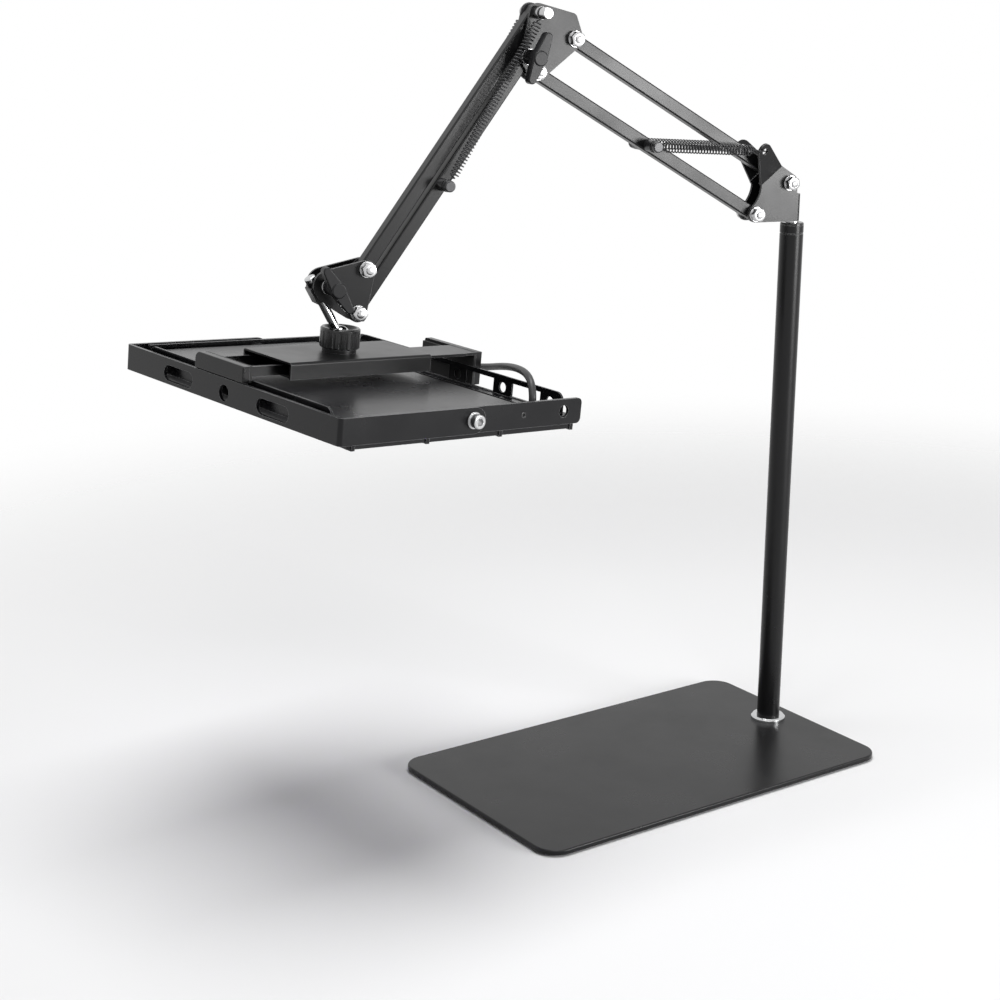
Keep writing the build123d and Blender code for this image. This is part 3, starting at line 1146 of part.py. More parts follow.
def glass_clips():
    made = []
    side = FRAME_HALF_SPAN
    for u in CLIP_STATIONS:
        low = u - CLIP_WIDTH / 2
        high = u + CLIP_WIDTH / 2
        wall = block((low, side, FRAME_BOTTOM), (high, side + CLIP_SHEET, FRAME_BOTTOM + CLIP_RISE))
        foot = block((low, side - CLIP_REACH, FRAME_BOTTOM - CLIP_SHEET),
                     (high, side + CLIP_SHEET, FRAME_BOTTOM))
        made += [in_lamp(piece) for piece in pair(wall + foot)]
    return made


# ---- lamp lead ----
def lead_points():
    start = (*SINK_GLAND, SINK_TOP + GLAND_LENGTH)
    end = (COVER_RIGHT + GLAND_LENGTH, *COVER_GLAND)
    return [start, *LEAD_ROUTE, end]


def lead_radii(points):
    """Each corner's radius, as large as its two runs allow."""
    radii = []
    for before, corner, after in zip(points, points[1:], points[2:]):
        first = Vector(*corner) - Vector(*before)
        second = Vector(*after) - Vector(*corner)
        half_turn = math.radians(first.get_angle(second) / 2)
        radii.append(LEAD_CORNER_SHARE * min(first.length, second.length) / math.tan(half_turn))
    return radii


def lamp_lead():
    points = lead_points()
    path = FilletPolyline(*points, radius=lead_radii(points))
    section = Plane(origin=points[0], z_dir=path % 0) * Circle(LEAD_DIAMETER / 2)
    return LAMP * sweep(section, path)


def lead_glands():
    body = Cylinder(GLAND_RADIUS, GLAND_LENGTH, align=LOW)
    body = chamfer(body.edges().sort_by(Axis.Z)[-1], GLAND_CHAMFER)
    on_sink = LAMP * Pos(*SINK_GLAND, SINK_TOP) * body
    on_cover = LAMP * Pos(COVER_RIGHT, *COVER_GLAND) * Rot(0, 90, 0) * body
    return [on_sink, on_cover]


# ---- mounting bracket ----

def u_bracket():
    outer_span = BRACKET_INNER_SPAN + BRACKET_SHEET
    radius = (BRACKET_TOP - BRACKET_BOTTOM) / 2
    tail = BRACKET_PIVOT_STATION + BRACKET_TAIL
    reach = tail + radius
    outer = Pos((BRACKET_OUT + reach) / 2, 0) * Rectangle(reach - BRACKET_OUT, 2 * outer_span)
    outer = fillet(outer.vertices().sort_by(Axis.X)[:2], BRACKET_BEND_RADIUS)
    start = BRACKET_OUT + BRACKET_SHEET
    inner = Pos((start + reach) / 2, 0) * Rectangle(reach - start, 2 * BRACKET_INNER_SPAN)
    inner = fillet(inner.vertices().sort_by(Axis.X)[:2], BRACKET_BEND_RADIUS - BRACKET_SHEET)
    band = extrude(Pos(0, 0, BRACKET_BOTTOM) * (outer - inner), 2 * radius)
    level = (BRACKET_TOP + BRACKET_BOTTOM) / 2
    side = Pos((BRACKET_OUT + tail) / 2, level) * Rectangle(tail - BRACKET_OUT, 2 * radius)
    side += Pos(tail, level) * Circle(radius)
    side -= Pos(BRACKET_PIVOT_STATION, BRACKET_PIVOT_LEVEL) * Circle(M6_RADIUS + RUN)
    band &= slab(side, -2 * outer_span, 2 * outer_span)
    wall = Pos(BRACKET_OUT, BRACKET_SLOT_SHIFT, BRACKET_HOLE_LEVEL) * Rot(0, 90, 0)
    band -= wall * Cylinder(BRACKET_HOLE_RADIUS, 4 * BRACKET_SHEET)
    slot = Rot(0, 0, 90) * SlotOverall(BRACKET_SLOT_LENGTH, BRACKET_SLOT_HEIGHT)
    slot = extrude(slot, 2 * BRACKET_SHEET, both=True)
    for v in (-BRACKET_SLOT_SPACING, BRACKET_SLOT_SPACING):
        band -= Pos(0, v, 0) * wall * slot
    return in_lamp(band)


def bracket_bolts():
    """Socket screws that carry the bracket, heads outside."""
    point = (BRACKET_PIVOT_STATION, BRACKET_PIVOT_LEVEL)
    under = BRACKET_INNER_SPAN + BRACKET_SHEET + SIDE_PLAY + M6_WASHER_THICKNESS
    inner = SIDE_HALF_SPAN - SIDE_SHEET - M6_NUT_HEIGHT
    head = rod(point, CAP_SCREW_RADIUS, under, under + CAP_SCREW_HEIGHT)
    head = fillet(head.edges().sort_by(Axis.Y)[-1], CAP_SCREW_HEIGHT / 8)
    top = under + CAP_SCREW_HEIGHT
    head -= hexagon(point, CAP_SOCKET_FLATS, top - CAP_SOCKET_DEPTH, top)
    screw = head + rod(point, M6_RADIUS, inner, under)
    return [in_lamp(piece) for piece in pair(screw)]


def bracket_washers():
    """Washers under the screw heads and between the bracket and the side plates."""
    point = (BRACKET_PIVOT_STATION, BRACKET_PIVOT_LEVEL)
    start = BRACKET_INNER_SPAN + BRACKET_SHEET + SIDE_PLAY
    outer = ring(point, M6_WASHER_RADIUS, M6_RADIUS, start, start + M6_WASHER_THICKNESS)
    inner = ring(point, M6_WASHER_RADIUS, M6_RADIUS, SIDE_HALF_SPAN, BRACKET_INNER_SPAN - SIDE_PLAY)
    return [in_lamp(piece) for piece in pair(outer) + pair(inner)]


def bracket_nuts():
    point = (BRACKET_PIVOT_STATION, BRACKET_PIVOT_LEVEL)
    end = SIDE_HALF_SPAN - SIDE_SHEET
    nut = hexagon(point, M6_NUT_FLATS, end - M6_NUT_HEIGHT, end)
    nut -= rod(point, M6_RADIUS, end - M6_NUT_HEIGHT, end)
    return [in_lamp(piece) for piece in pair(nut)]


# ---- nodes ----
def nodes():
    """Every node's name and its solid, or its list of separate solids."""
    rear_upper = (SHOULDER_UPPER, ELBOW_REAR_UPPER)
    rear_lower = (SHOULDER_LOWER, ELBOW_REAR_LOWER)
    front_upper = (ELBOW_FRONT_UPPER, HEAD_UPPER)
    front_lower = (ELBOW_FRONT_LOWER, HEAD_LOWER)
    bar_side = BAR_SIZE / 2
    runs = (M6_RADIUS + RUN, M6_RADIUS + RUN)
    opens = (M6_RADIUS + RUN, M6_RADIUS + OPEN_PIVOT)
    return {
        "base_plate": base_plate(),
        "foot_pads": foot_pads(),
        "base_bolt": base_bolt(),
        "flange_ring": flange_ring(),
        "pole_tube": pole_tube(),
        "pole_bottom_plug": pole_bottom_plug(),
        "pole_top_bush": pole_top_bush(),
        "shoulder_yoke": shoulder_yoke(),
        "yoke_spindle": yoke_spindle(),
        "shoulder_fasteners": bolts(SHOULDER_UPPER, SHOULDER_LOWER) + nuts(SHOULDER_UPPER, SHOULDER_LOWER),
        "rear_upper_bar": upper_bar(*rear_upper),
        "rear_upper_bushes": bar_bushes(*rear_upper, opens),
        "rear_lower_bar": lower_bar(*rear_lower, REAR_PIN),
        "rear_lower_bushes": bar_bushes(*rear_lower, runs),
        "rear_spring_pin": spring_pin(REAR_PIN, bar_side, SPRING_STATION, LOWER_CAP_LENGTH),
        "rear_springs": rear_springs(),
        "elbow_plates": [ARM * plate for plate in pair(elbow_plate())],
        "elbow_fasteners": elbow_fasteners(),
        "elbow_spring_pin": spring_pin(ELBOW_FRONT_UPPER, PLATE_OUTER, FRONT_FAR_STATION, ELBOW_CAP_LENGTH),
        "elbow_wing_nut": wing_nut(ELBOW_FRONT_LOWER, ELBOW_WING_ANGLE),
        "front_upper_bar": upper_bar(*front_upper),
        "front_upper_bushes": bar_bushes(*front_upper, opens),
        "front_lower_bar": lower_bar(*front_lower, FRONT_PIN),
        "front_lower_bushes": bar_bushes(*front_lower, runs),
        "front_spring_pin": spring_pin(FRONT_PIN, bar_side, FRONT_FAR_STATION, LOWER_CAP_LENGTH),
        "front_springs": front_springs(),
        "head_plates": [ARM * plate for plate in pair(head_plate())],
        "head_fasteners": head_fasteners(),
        "head_wing_nut": wing_nut(HEAD_CLAMP, HEAD_WING_ANGLE),
        "pivot_block": pivot_block(),
        "ball_stud": ball_stud(),
        "stud_sleeve": stud_sleeve(),
        "stud_cap_nut": stud_cap_nut(),
        "ball_seat": ball_seat(),
        "ball_socket": [ball_socket(), socket_nut()],
        "lock_collar": lock_collar(),
        "clamp_plate": clamp_plate(),
        "clamp_floor": [clamp_floor(), *clamp_guides()],
        "clamp_springs": clamp_springs(),
        "left_jaw": left_jaw(),
        "left_jaw_pad": left_jaw_pad(),
        "right_jaw": right_jaw(),
        "right_jaw_pad": right_jaw_pad(),
        "side_plates": [in_lamp(piece) for piece in pair(side_plate())],
        "heat_sink_plate": heat_sink_plate(),
        "left_flange": left_flange(),
        "lamp_rail": lamp_rail(),
        "driver_cover": driver_cover(),
        "small_screws": side_screws() + cover_screws(),
        "led_driver": led_driver(),
        "led_frame": led_frame(),
        "glass_window": glass_window(),
        "glass_gasket": glass_gasket(),
        "led_board": led_board(),
        "led_chips": led_chips(),
        "glass_clips": glass_clips(),
        "lamp_lead": lamp_lead(),
        "lead_glands": lead_glands(),
        "u_bracket": u_bracket(),
        "bracket_fasteners": bracket_bolts() + bracket_washers() + bracket_nuts(),
    }


def main():
    os.makedirs("parts", exist_ok=True)
    for name, made in nodes().items():
        solids = group(made)
        shape = solids[0] if len(solids) == 1 else Compound(solids)
        export_step(shape, os.path.join("parts", name + ".step"))


main()
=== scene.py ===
import json
import math

import bmesh
import bpy
from mathutils import Matrix, Vector


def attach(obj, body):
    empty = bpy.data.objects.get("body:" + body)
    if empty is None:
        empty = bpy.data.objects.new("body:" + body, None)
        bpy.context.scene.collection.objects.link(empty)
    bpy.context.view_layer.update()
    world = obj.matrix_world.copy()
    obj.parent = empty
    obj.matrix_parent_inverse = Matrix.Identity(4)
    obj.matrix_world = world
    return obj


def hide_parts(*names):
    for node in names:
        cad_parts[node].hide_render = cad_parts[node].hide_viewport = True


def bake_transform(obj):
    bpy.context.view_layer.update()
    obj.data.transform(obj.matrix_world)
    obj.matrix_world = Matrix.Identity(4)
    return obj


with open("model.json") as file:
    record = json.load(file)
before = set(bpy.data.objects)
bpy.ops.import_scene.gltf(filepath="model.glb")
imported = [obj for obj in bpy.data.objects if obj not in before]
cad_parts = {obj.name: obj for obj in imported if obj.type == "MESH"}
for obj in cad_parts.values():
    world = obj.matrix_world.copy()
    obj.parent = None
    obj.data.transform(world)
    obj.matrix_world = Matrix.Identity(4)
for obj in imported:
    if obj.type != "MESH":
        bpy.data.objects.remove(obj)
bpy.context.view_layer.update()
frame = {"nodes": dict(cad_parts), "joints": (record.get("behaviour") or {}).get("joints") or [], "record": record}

# An exposure lamp on a sprung parallel arm. Small pieces are drawn in millimetres and set in
# place from the frame's joints, which are in metres.

MM = 0.001
JOINTS = {joint["name"]: joint for joint in frame["joints"]}


def place(name):
    """A joint's point, in metres."""
    return Vector(JOINTS[name]["pos_m"])


def heading(name):
    """A joint's axis."""
    return Vector(JOINTS[name]["axis"]).normalized()


# ---- places on the arm ----
FAR = heading("rear_lift")               # across the arm, towards its far side
NEAR = -FAR
SHOULDER_UPPER = place("rear_upper_pivot")
SHOULDER_LOWER = place("rear_lift")
ELBOW_REAR_LOWER = place("elbow_level")
ELBOW_REAR_UPPER = SHOULDER_UPPER + ELBOW_REAR_LOWER - SHOULDER_LOWER
ELBOW_FRONT_UPPER = place("front_upper_pivot")
ELBOW_FRONT_LOWER = place("front_lift")
HEAD_LOWER = place("head_level")
HEAD_UPPER = ELBOW_FRONT_UPPER + HEAD_LOWER - ELBOW_FRONT_LOWER
HEAD_CLAMP = place("head_tilt")
REAR_PIN = (SHOULDER_LOWER + ELBOW_REAR_LOWER) / 2
FRONT_PIN = (ELBOW_FRONT_LOWER + HEAD_LOWER) / 2

# ---- the lamp's own axes: u to its right, v to its far side, w up ----
LAMP_U = heading("jaw_slide")
LAMP_V = heading("bracket_swing")
LAMP_W = heading("lamp_swivel")
LAMP_ORIGIN = place("collar_turn")


def lamp_point(u, v, w):
    """A point given in the lamp's axes, in millimetres."""
    return LAMP_ORIGIN + (LAMP_U * u + LAMP_V * v + LAMP_W * w) * MM


# ---- camera ----
CAMERA_PLACE = Vector((-1.1001, -1.1659, 0.6514))
CAMERA_AZIMUTH = -35.007
CAMERA_ELEVATION = 15.948
CAMERA_ROLL = 0.496
FOCAL_LENGTH = 71.17
SENSOR = 36.0


def make_camera():
    """The camera, turned by its azimuth, its elevation and its roll."""
    azimuth = math.radians(CAMERA_AZIMUTH)
    elevation = math.radians(CAMERA_ELEVATION)
    right = Vector((math.cos(azimuth), math.sin(azimuth), 0))
    level = Vector((-math.sin(azimuth), math.cos(azimuth), 0))
    forward = level * math.cos(elevation) - Vector((0, 0, math.sin(elevation)))
    up = right.cross(forward)
    turn = Matrix((right, up, -forward)).transposed().to_4x4()
    data = bpy.data.cameras.new("camera")
    data.sensor_width = SENSOR
    data.lens = FOCAL_LENGTH
    camera = bpy.data.objects.new("camera", data)
    roll = Matrix.Rotation(math.radians(CAMERA_ROLL), 4, "Z")
    camera.matrix_world = Matrix.Translation(CAMERA_PLACE) @ turn @ roll
    bpy.context.scene.collection.objects.link(camera)
    bpy.context.scene.camera = camera


# ---- surfaces ----
EDGE_RADIUS = 0.0004         # in metres, of edges that look rounded
EDGE_SPREAD = 5.0            # how fast the mask rises over such an edge
GRAIN = 900.0                # of a coat, per metre
WAVES = 120.0                # of a coat, per metre
COAT_DEPTH = 0.00005         # in metres, between a coat's lows and highs
MARKS = 14.0                 # smudges per metre
SMUDGE_RANGE = (0.38, 0.68)  # of the noise that makes the smudges
SPECKS = 1800.0              # of dust, per metre
SPECK_RANGE = (0.62, 0.75)   # of the noise that makes the specks
SATIN = 0.26                 # specular level of the dark coats
BLACK = (0.0045, 0.0045, 0.005)
LAMP_BLACK = (0.0045, 0.0045, 0.0055)
# painted highlight along the rounded edges of the dark coats, with some rubbed paint
PALE_EDGE_HIGHLIGHT = (0.4, 0.4, 0.41)
DUST_COLOUR = (0.35, 0.34, 0.33)
LED_GLOW = (0.42, 0.2, 1.0, 1.0)
LED_STRENGTH = 2.5
GLASS_INDEX = 1.5


# ---- shader node groups ----
def node_group(name, inputs, outputs):
    """An empty shader group with named sockets, and its two end nodes."""
    tree = bpy.data.node_groups.new(name, "ShaderNodeTree")
    for label, value in inputs:
        socket = tree.interface.new_socket(label, in_out="INPUT", socket_type="NodeSocketFloat")
        socket.default_value = value
    for label, kind in outputs:
        tree.interface.new_socket(label, in_out="OUTPUT", socket_type=kind)
    return tree, tree.nodes.new("NodeGroupInput"), tree.nodes.new("NodeGroupOutput")


def add(tree, kind, settings=None, **inputs):
    """A node with its settings, and its inputs set to values or linked to sockets."""
    node = tree.nodes.new(kind)
    for key, value in (settings or {}).items():
        setattr(node, key, value)
    for key, value in inputs.items():
        socket = node.inputs[int(key[1:])] if key[1:].isdigit() else node.inputs[key.replace("_", " ")]
        if isinstance(value, bpy.types.NodeSocket):
            tree.links.new(value, socket)
        else:
            socket.default_value = value
    return node


def maths(tree, operation, *values, clamp=False):
    """The result of a Math node."""
    inputs = {f"i{number}": value for number, value in enumerate(values)}
    return add(tree, "ShaderNodeMath", {"operation": operation, "use_clamp": clamp}, **inputs).outputs[0]


def rounded_edges_group():
    """Edges that look rounded by a radius, and a mask that is 1 on them, along which the coats paint a highlight.
    """
    tree, start, end = node_group("rounded_edges", [("Radius", EDGE_RADIUS), ("Spread", EDGE_SPREAD)],
                                  [("Mask", "NodeSocketFloat"), ("Normal", "NodeSocketVector")])
    bevel = add(tree, "ShaderNodeBevel", {"samples": 6}, Radius=start.outputs["Radius"])
    flat = add(tree, "ShaderNodeNewGeometry")
    dot = add(tree, "ShaderNodeVectorMath", {"operation": "DOT_PRODUCT"},
              i0=bevel.outputs["Normal"], i1=flat.outputs["Normal"])
    away = maths(tree, "SUBTRACT", 1.0, dot.outputs["Value"])
    mask = maths(tree, "MULTIPLY", away, start.outputs["Spread"], clamp=True)
    tree.links.new(mask, end.inputs["Mask"])
    tree.links.new(bevel.outputs["Normal"], end.inputs["Normal"])
    return tree


def coat_texture_group():
    """The fine orange-peel grain of a sprayed or powder-coated surface, as a height from 0 to 1."""
    tree, start, end = node_group("coat_texture", [("Grain per metre", GRAIN), ("Waves per metre", WAVES)],
                                  [("Height", "NodeSocketFloat")])
    coordinates = add(tree, "ShaderNodeTexCoord")
    grain = add(tree, "ShaderNodeTexNoise", Vector=coordinates.outputs["Object"],
                Scale=start.outputs["Grain per metre"], Detail=2.0)
    waves = add(tree, "ShaderNodeTexNoise", Vector=coordinates.outputs["Object"],
                Scale=start.outputs["Waves per metre"], Detail=1.0)
    total = maths(tree, "ADD", grain.outputs["Fac"], waves.outputs["Fac"])
    tree.links.new(maths(tree, "MULTIPLY", total, 0.5), end.inputs["Height"])
    return tree


def handling_group():
    """Soft smudges and a little settled dust, from 0 on a clean spot to 1."""
    tree, start, end = node_group("handling_marks", [("Marks per metre", MARKS)],
                                  [("Smudge", "NodeSocketFloat"), ("Dust", "NodeSocketFloat")])
    coordinates = add(tree, "ShaderNodeTexCoord")
    large = add(tree, "ShaderNodeTexNoise", Vector=coordinates.outputs["Object"],
                Scale=start.outputs["Marks per metre"], Detail=4.0, Roughness=0.6)
    low, high = SMUDGE_RANGE
    smudge = add(tree, "ShaderNodeMapRange", Value=large.outputs["Fac"], i1=low, i2=high)
    fine = add(tree, "ShaderNodeTexNoise", Vector=coordinates.outputs["Object"], Scale=SPECKS, Detail=1.0)
    low, high = SPECK_RANGE
    specks = add(tree, "ShaderNodeMapRange", Value=fine.outputs["Fac"], i1=low, i2=high)
    facing = add(tree, "ShaderNodeNewGeometry")
    up = add(tree, "ShaderNodeSeparateXYZ", Vector=facing.outputs["Normal"])
    lying = maths(tree, "MAXIMUM", up.outputs["Z"], 0.0)
    dust = maths(tree, "MULTIPLY", specks.outputs["Result"], lying)
    tree.links.new(smudge.outputs["Result"], end.inputs["Smudge"])
    tree.links.new(dust, end.inputs["Dust"])
    return tree


GROUPS = {
    "edges": rounded_edges_group(),
    "coat": coat_texture_group(),
    "handling": handling_group(),
}


def use_group(tree, name, **inputs):
    """A node that stands for one of the groups, with its inputs set."""
    node = tree.nodes.new("ShaderNodeGroup")
    node.node_tree = GROUPS[name]
    for key, value in inputs.items():
        node.inputs[key.replace("_", " ")].default_value = value
    return node


def new_material(name, colour, roughness, metallic=0.0, **more):
    """A material with only its Principled shader, whose plain numbers are set on it."""
    material = bpy.data.materials.new(name)
    material.use_nodes = True
    shader = material.node_tree.nodes["Principled BSDF"]
    shader.inputs["Base Color"].default_value = (*colour, 1.0)
    shader.inputs["Roughness"].default_value = roughness
    shader.inputs["Metallic"].default_value = metallic
    for key, value in more.items():
        shader.inputs[key.replace("_", " ")].default_value = value
    return material, material.node_tree, shader


def finished(name, colour, roughness, smudge=0.08, dust=0.0, edge_colour=None, edge_radius=EDGE_RADIUS,
             grain=GRAIN, waves=WAVES, bump=0.1, **more):
    """A coated, plated or moulded surface: grain, rounded edges with a painted highlight and some rubbed paint,
    smudges and dust at their own scales.
    """
    material, tree, shader = new_material(name, colour, roughness, **more)
    edges = use_group(tree, "edges", Radius=edge_radius)
    marks = use_group(tree, "handling")
    coat = use_group(tree, "coat", Grain_per_metre=grain, Waves_per_metre=waves)
    bumped = add(tree, "ShaderNodeBump", Strength=bump, Distance=COAT_DEPTH, Height=coat.outputs["Height"],
                 Normal=edges.outputs["Normal"])
    tree.links.new(bumped.outputs["Normal"], shader.inputs["Normal"])
    spread = add(tree, "ShaderNodeMapRange", Value=marks.outputs["Smudge"], i3=roughness,
                 i4=roughness + smudge)
    tree.links.new(spread.outputs["Result"], shader.inputs["Roughness"])
    # the edges' colour: a painted highlight along them, with some rubbed paint
    edge_highlight_and_wear = add(tree, "ShaderNodeMix", {"data_type": "RGBA"})
    edge_highlight_and_wear.inputs["A"].default_value = (*colour, 1.0)
    edge_highlight_and_wear.inputs["B"].default_value = (*(edge_colour or colour), 1.0)
    tree.links.new(edges.outputs["Mask"], edge_highlight_and_wear.inputs["Factor"])
    dusty = add(tree, "ShaderNodeMix", {"data_type": "RGBA"})
    tree.links.new(edge_highlight_and_wear.outputs["Result"], dusty.inputs["A"])
    dusty.inputs["B"].default_value = (*DUST_COLOUR, 1.0)
    tree.links.new(maths(tree, "MULTIPLY", marks.outputs["Dust"], dust), dusty.inputs["Factor"])
    tree.links.new(dusty.outputs["Result"], shader.inputs["Base Color"])
    return material


def make_materials():
    """One material for each of the record's slots."""
    # the pale edge colour paints a highlight along the dark coats' edges
    dark = {"Specular_IOR_Level": SATIN, "edge_colour": PALE_EDGE_HIGHLIGHT}
    coats = {
        "powder_coat": dict(dark, colour=BLACK, roughness=0.27, bump=0.03, grain=1500.0, waves=420.0,
                            dust=0.04),
        "pole_black": dict(dark, colour=BLACK, roughness=0.26, bump=0.04, grain=1200.0, waves=260.0,
                           dust=0.05),
        "lamp_black": dict(dark, colour=LAMP_BLACK, roughness=0.22, bump=0.04, grain=1200.0, waves=160.0,
                           dust=0.06),
        "chrome": dict(colour=(0.55, 0.555, 0.56), roughness=0.08, metallic=1.0, smudge=0.1, bump=0.05),
        "zinc_steel": dict(colour=(0.5, 0.5, 0.505), roughness=0.17, metallic=1.0, smudge=0.14, bump=0.12,
                           grain=2500.0),
        "spring_steel": dict(colour=(0.03, 0.03, 0.032), roughness=0.3, metallic=0.35, bump=0.05,
                             edge_radius=0.0001),
        # the edge colours of the plastics and the rubber paint a thin highlight along their edges
        "black_plastic": dict(colour=(0.004, 0.004, 0.0045), roughness=0.12, bump=0.03, grain=1400.0,
                              edge_colour=(0.16, 0.16, 0.16)),
        "matte_black_plastic": dict(colour=(0.005, 0.005, 0.006), roughness=0.34, bump=0.2, grain=2200.0,
                                    edge_colour=(0.12, 0.12, 0.125), Specular_IOR_Level=SATIN),
        "nylon": dict(colour=(0.03, 0.03, 0.032), roughness=0.45, bump=0.1),
        "acetal": dict(colour=(0.7, 0.69, 0.65), roughness=0.4, bump=0.1),
        "rubber": dict(colour=(0.014, 0.014, 0.014), roughness=0.7, bump=0.4, grain=2600.0, dust=0.1,
                       edge_colour=(0.03, 0.03, 0.03)),
        "cable": dict(colour=(0.02, 0.02, 0.021), roughness=0.42, bump=0.25, grain=1600.0),
        "aluminium": dict(colour=(0.025, 0.025, 0.027), roughness=0.38, metallic=0.6, bump=0.15),
        "board": dict(colour=(0.82, 0.82, 0.82), roughness=0.35, bump=0.05),
    }
    made = {name: finished(name, **settings) for name, settings in coats.items()}
    made["window_glass"], _, glass = new_material("window_glass", (0.97, 0.98, 1.0), 0.03)
    glass.inputs["Transmission Weight"].default_value = 1.0
    glass.inputs["IOR"].default_value = GLASS_INDEX
    made["led"], _, led = new_material("led", (0.7, 0.6, 0.95), 0.25)
    led.inputs["Emission Color"].default_value = LED_GLOW
    led.inputs["Emission Strength"].default_value = LED_STRENGTH
    return made


# ---- mesh helpers ----
SHARP_ANGLE = math.radians(32)
ON_AXIS = 1e-6               # a smaller radius is a point on the axis
MERGE = 1e-7                 # in metres, between vertices that become one
NUT_TOP_SHARE = 0.97         # of a nut's apothem, where its chamfer meets its flat end
NUT_CHAMFER = math.radians(30)
CLOSED_BORE = 0.01           # radius of the point in the middle of a head without a bore
THREAD_DEPTH = 0.55          # of a thread's pitch
THREAD_CREST = (0.35, 0.55)  # where a ridge's crest starts and ends, in shares of the pitch


def stand(point, axis, side=None):
    """A frame in millimetres at a point, with its Z along an axis and its X as near as it can be to side."""
    z = axis.normalized()
    guide = side if side is not None else Vector((0, 0, 1))
    x = (guide - z * guide.dot(z)).normalized()
    turn = Matrix((x, z.cross(x), z)).transposed().to_4x4()
    return Matrix.Translation(point) @ turn @ Matrix.Scale(MM, 4)


class Piece:
    """Vertices and faces gathered from several shapes, in metres."""

    def __init__(self):
        self.vertices = []
        self.faces = []

    def put(self, vertices, faces, matrix):
        """Adds a shape's vertices and faces, moved by a matrix."""
        start = len(self.vertices)
        self.vertices += [tuple(matrix @ Vector(vertex)) for vertex in vertices]
        self.faces += [[start + index for index in face] for face in faces]

    def turn(self, profile, matrix, segments=48):
        """A closed outline of (radius, height) points turned about Z; points on the axis become poles."""
        vertices = []
        rows = []
        for radius, height in profile:
            if radius < ON_AXIS:
                rows.append([len(vertices)] * segments)
                vertices.append((0, 0, height))
                continue
            rows.append(list(range(len(vertices), len(vertices) + segments)))
            for step in range(segments):
                angle = 2 * math.pi * step / segments
                vertices.append((radius * math.cos(angle), radius * math.sin(angle), height))
        self.rings(vertices, rows, matrix)

    def rings(self, vertices, rows, matrix, closed=False):
        """Faces between neighbouring rings of vertices."""
        faces = []
        count = len(rows[0])
        pairs = list(zip(rows, rows[1:])) + ([(rows[-1], rows[0])] if closed else [])
        for low, high in pairs:
            for step in range(count):
                after = (step + 1) % count
                corners = [low[step], low[after], high[after], high[step]]
                face = [corner for at, corner in enumerate(corners) if corner != corners[at - 1]]
                if len(face) > 2:
                    faces.append(face)
        self.put(vertices, faces, matrix)

    def nut(self, flats, height, bore, matrix, chamfer_ends=(True, True), segments=72):
        """A hexagon with chamfered ends, and a bore if it has a radius."""
        apothem = flats / 2
        round_radius = apothem * NUT_TOP_SHARE
        inner = max(bore, CLOSED_BORE)
        vertices = []
        rows = []

        def ring(radius, level):
            rows.append(list(range(len(vertices), len(vertices) + segments)))
            for step in range(segments):
                angle = 2 * math.pi * step / segments
                reach = radius(angle)
                vertices.append((reach * math.cos(angle), reach * math.sin(angle), level(angle)))

        def hexagon(angle):
            turn = (angle + math.pi / 6) % (math.pi / 3) - math.pi / 6
            return apothem / math.cos(turn)

        def drop(angle):
            return max(0.0, hexagon(angle) - round_radius) * math.tan(NUT_CHAMFER)

        top, bottom = chamfer_ends
        ring(lambda angle: inner, lambda angle: 0)
        if bottom:
            ring(lambda angle: round_radius, lambda angle: 0)
        ring(hexagon, lambda angle: drop(angle) if bottom else 0)
        ring(hexagon, lambda angle: height - (drop(angle) if top else 0))
        if top:
            ring(lambda angle: round_radius, lambda angle: height)
        ring(lambda angle: inner, lambda angle: height)
        self.rings(vertices, rows, matrix, closed=bore > 0)

    def thread(self, radius, start, end, pitch, matrix):
        """A threaded end as fine ridges, with a chamfered tip."""
        depth = pitch * THREAD_DEPTH
        rise, fall = THREAD_CREST
        profile = [(0, start)]
        level = start
        while level + pitch < end - depth:
            profile += [(radius - depth, level), (radius, level + pitch * rise),
                        (radius, level + pitch * fall)]
            level += pitch
        profile += [(radius - depth * 0.6, end - depth * 0.4), (radius - depth * 1.4, end), (0, end)]
        self.turn(profile, matrix, 32)

    def tube(self, points, radius, sides=10, closed=False):
        """A round wire through points in metres, its radius in millimetres."""
        count = len(points)
        normal = None
        vertices = []
        rows = []
        for number, point in enumerate(points):
            before = points[number - 1] if number or closed else point
            after = points[(number + 1) % count] if number + 1 < count or closed else point
            along = (after - before).normalized()
            if normal is None:
                normal = along.orthogonal()
            normal = (normal - along * normal.dot(along)).normalized()
            across = along.cross(normal)
            rows.append(list(range(len(vertices), len(vertices) + sides)))
            for side in range(sides):
                angle = 2 * math.pi * side / sides
                vertices.append(point + (normal * math.cos(angle) + across * math.sin(angle)) * radius * MM)
        self.rings(vertices, rows, Matrix.Identity(4), closed)
        if not closed:
            first = len(self.vertices) - len(vertices)
            self.faces.append([first + index for index in reversed(rows[0])])
            self.faces.append([first + index for index in rows[-1]])

    def made(self, name, slot, body=None, replaces=(), sharp=SHARP_ANGLE):
        """The object, with its material, body and the nodes that it stands for."""
        mesh = bpy.data.meshes.new(name)
        mesh.from_pydata([tuple(vertex) for vertex in self.vertices], [], self.faces)
        sheet = bmesh.new()
        sheet.from_mesh(mesh)
        bmesh.ops.remove_doubles(sheet, verts=sheet.verts, dist=MERGE)
        bmesh.ops.recalc_face_normals(sheet, faces=sheet.faces)
        sheet.to_mesh(mesh)
        sheet.free()
        mesh.shade_smooth()
        mesh.set_sharp_from_angle(angle=sharp)
        mesh.materials.append(MATERIALS[slot])
        piece = bpy.data.objects.new(name, mesh)
        bpy.context.scene.collection.objects.link(piece)
        if replaces:
            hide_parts(*replaces)
        if body:
            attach(piece, body)
        return piece


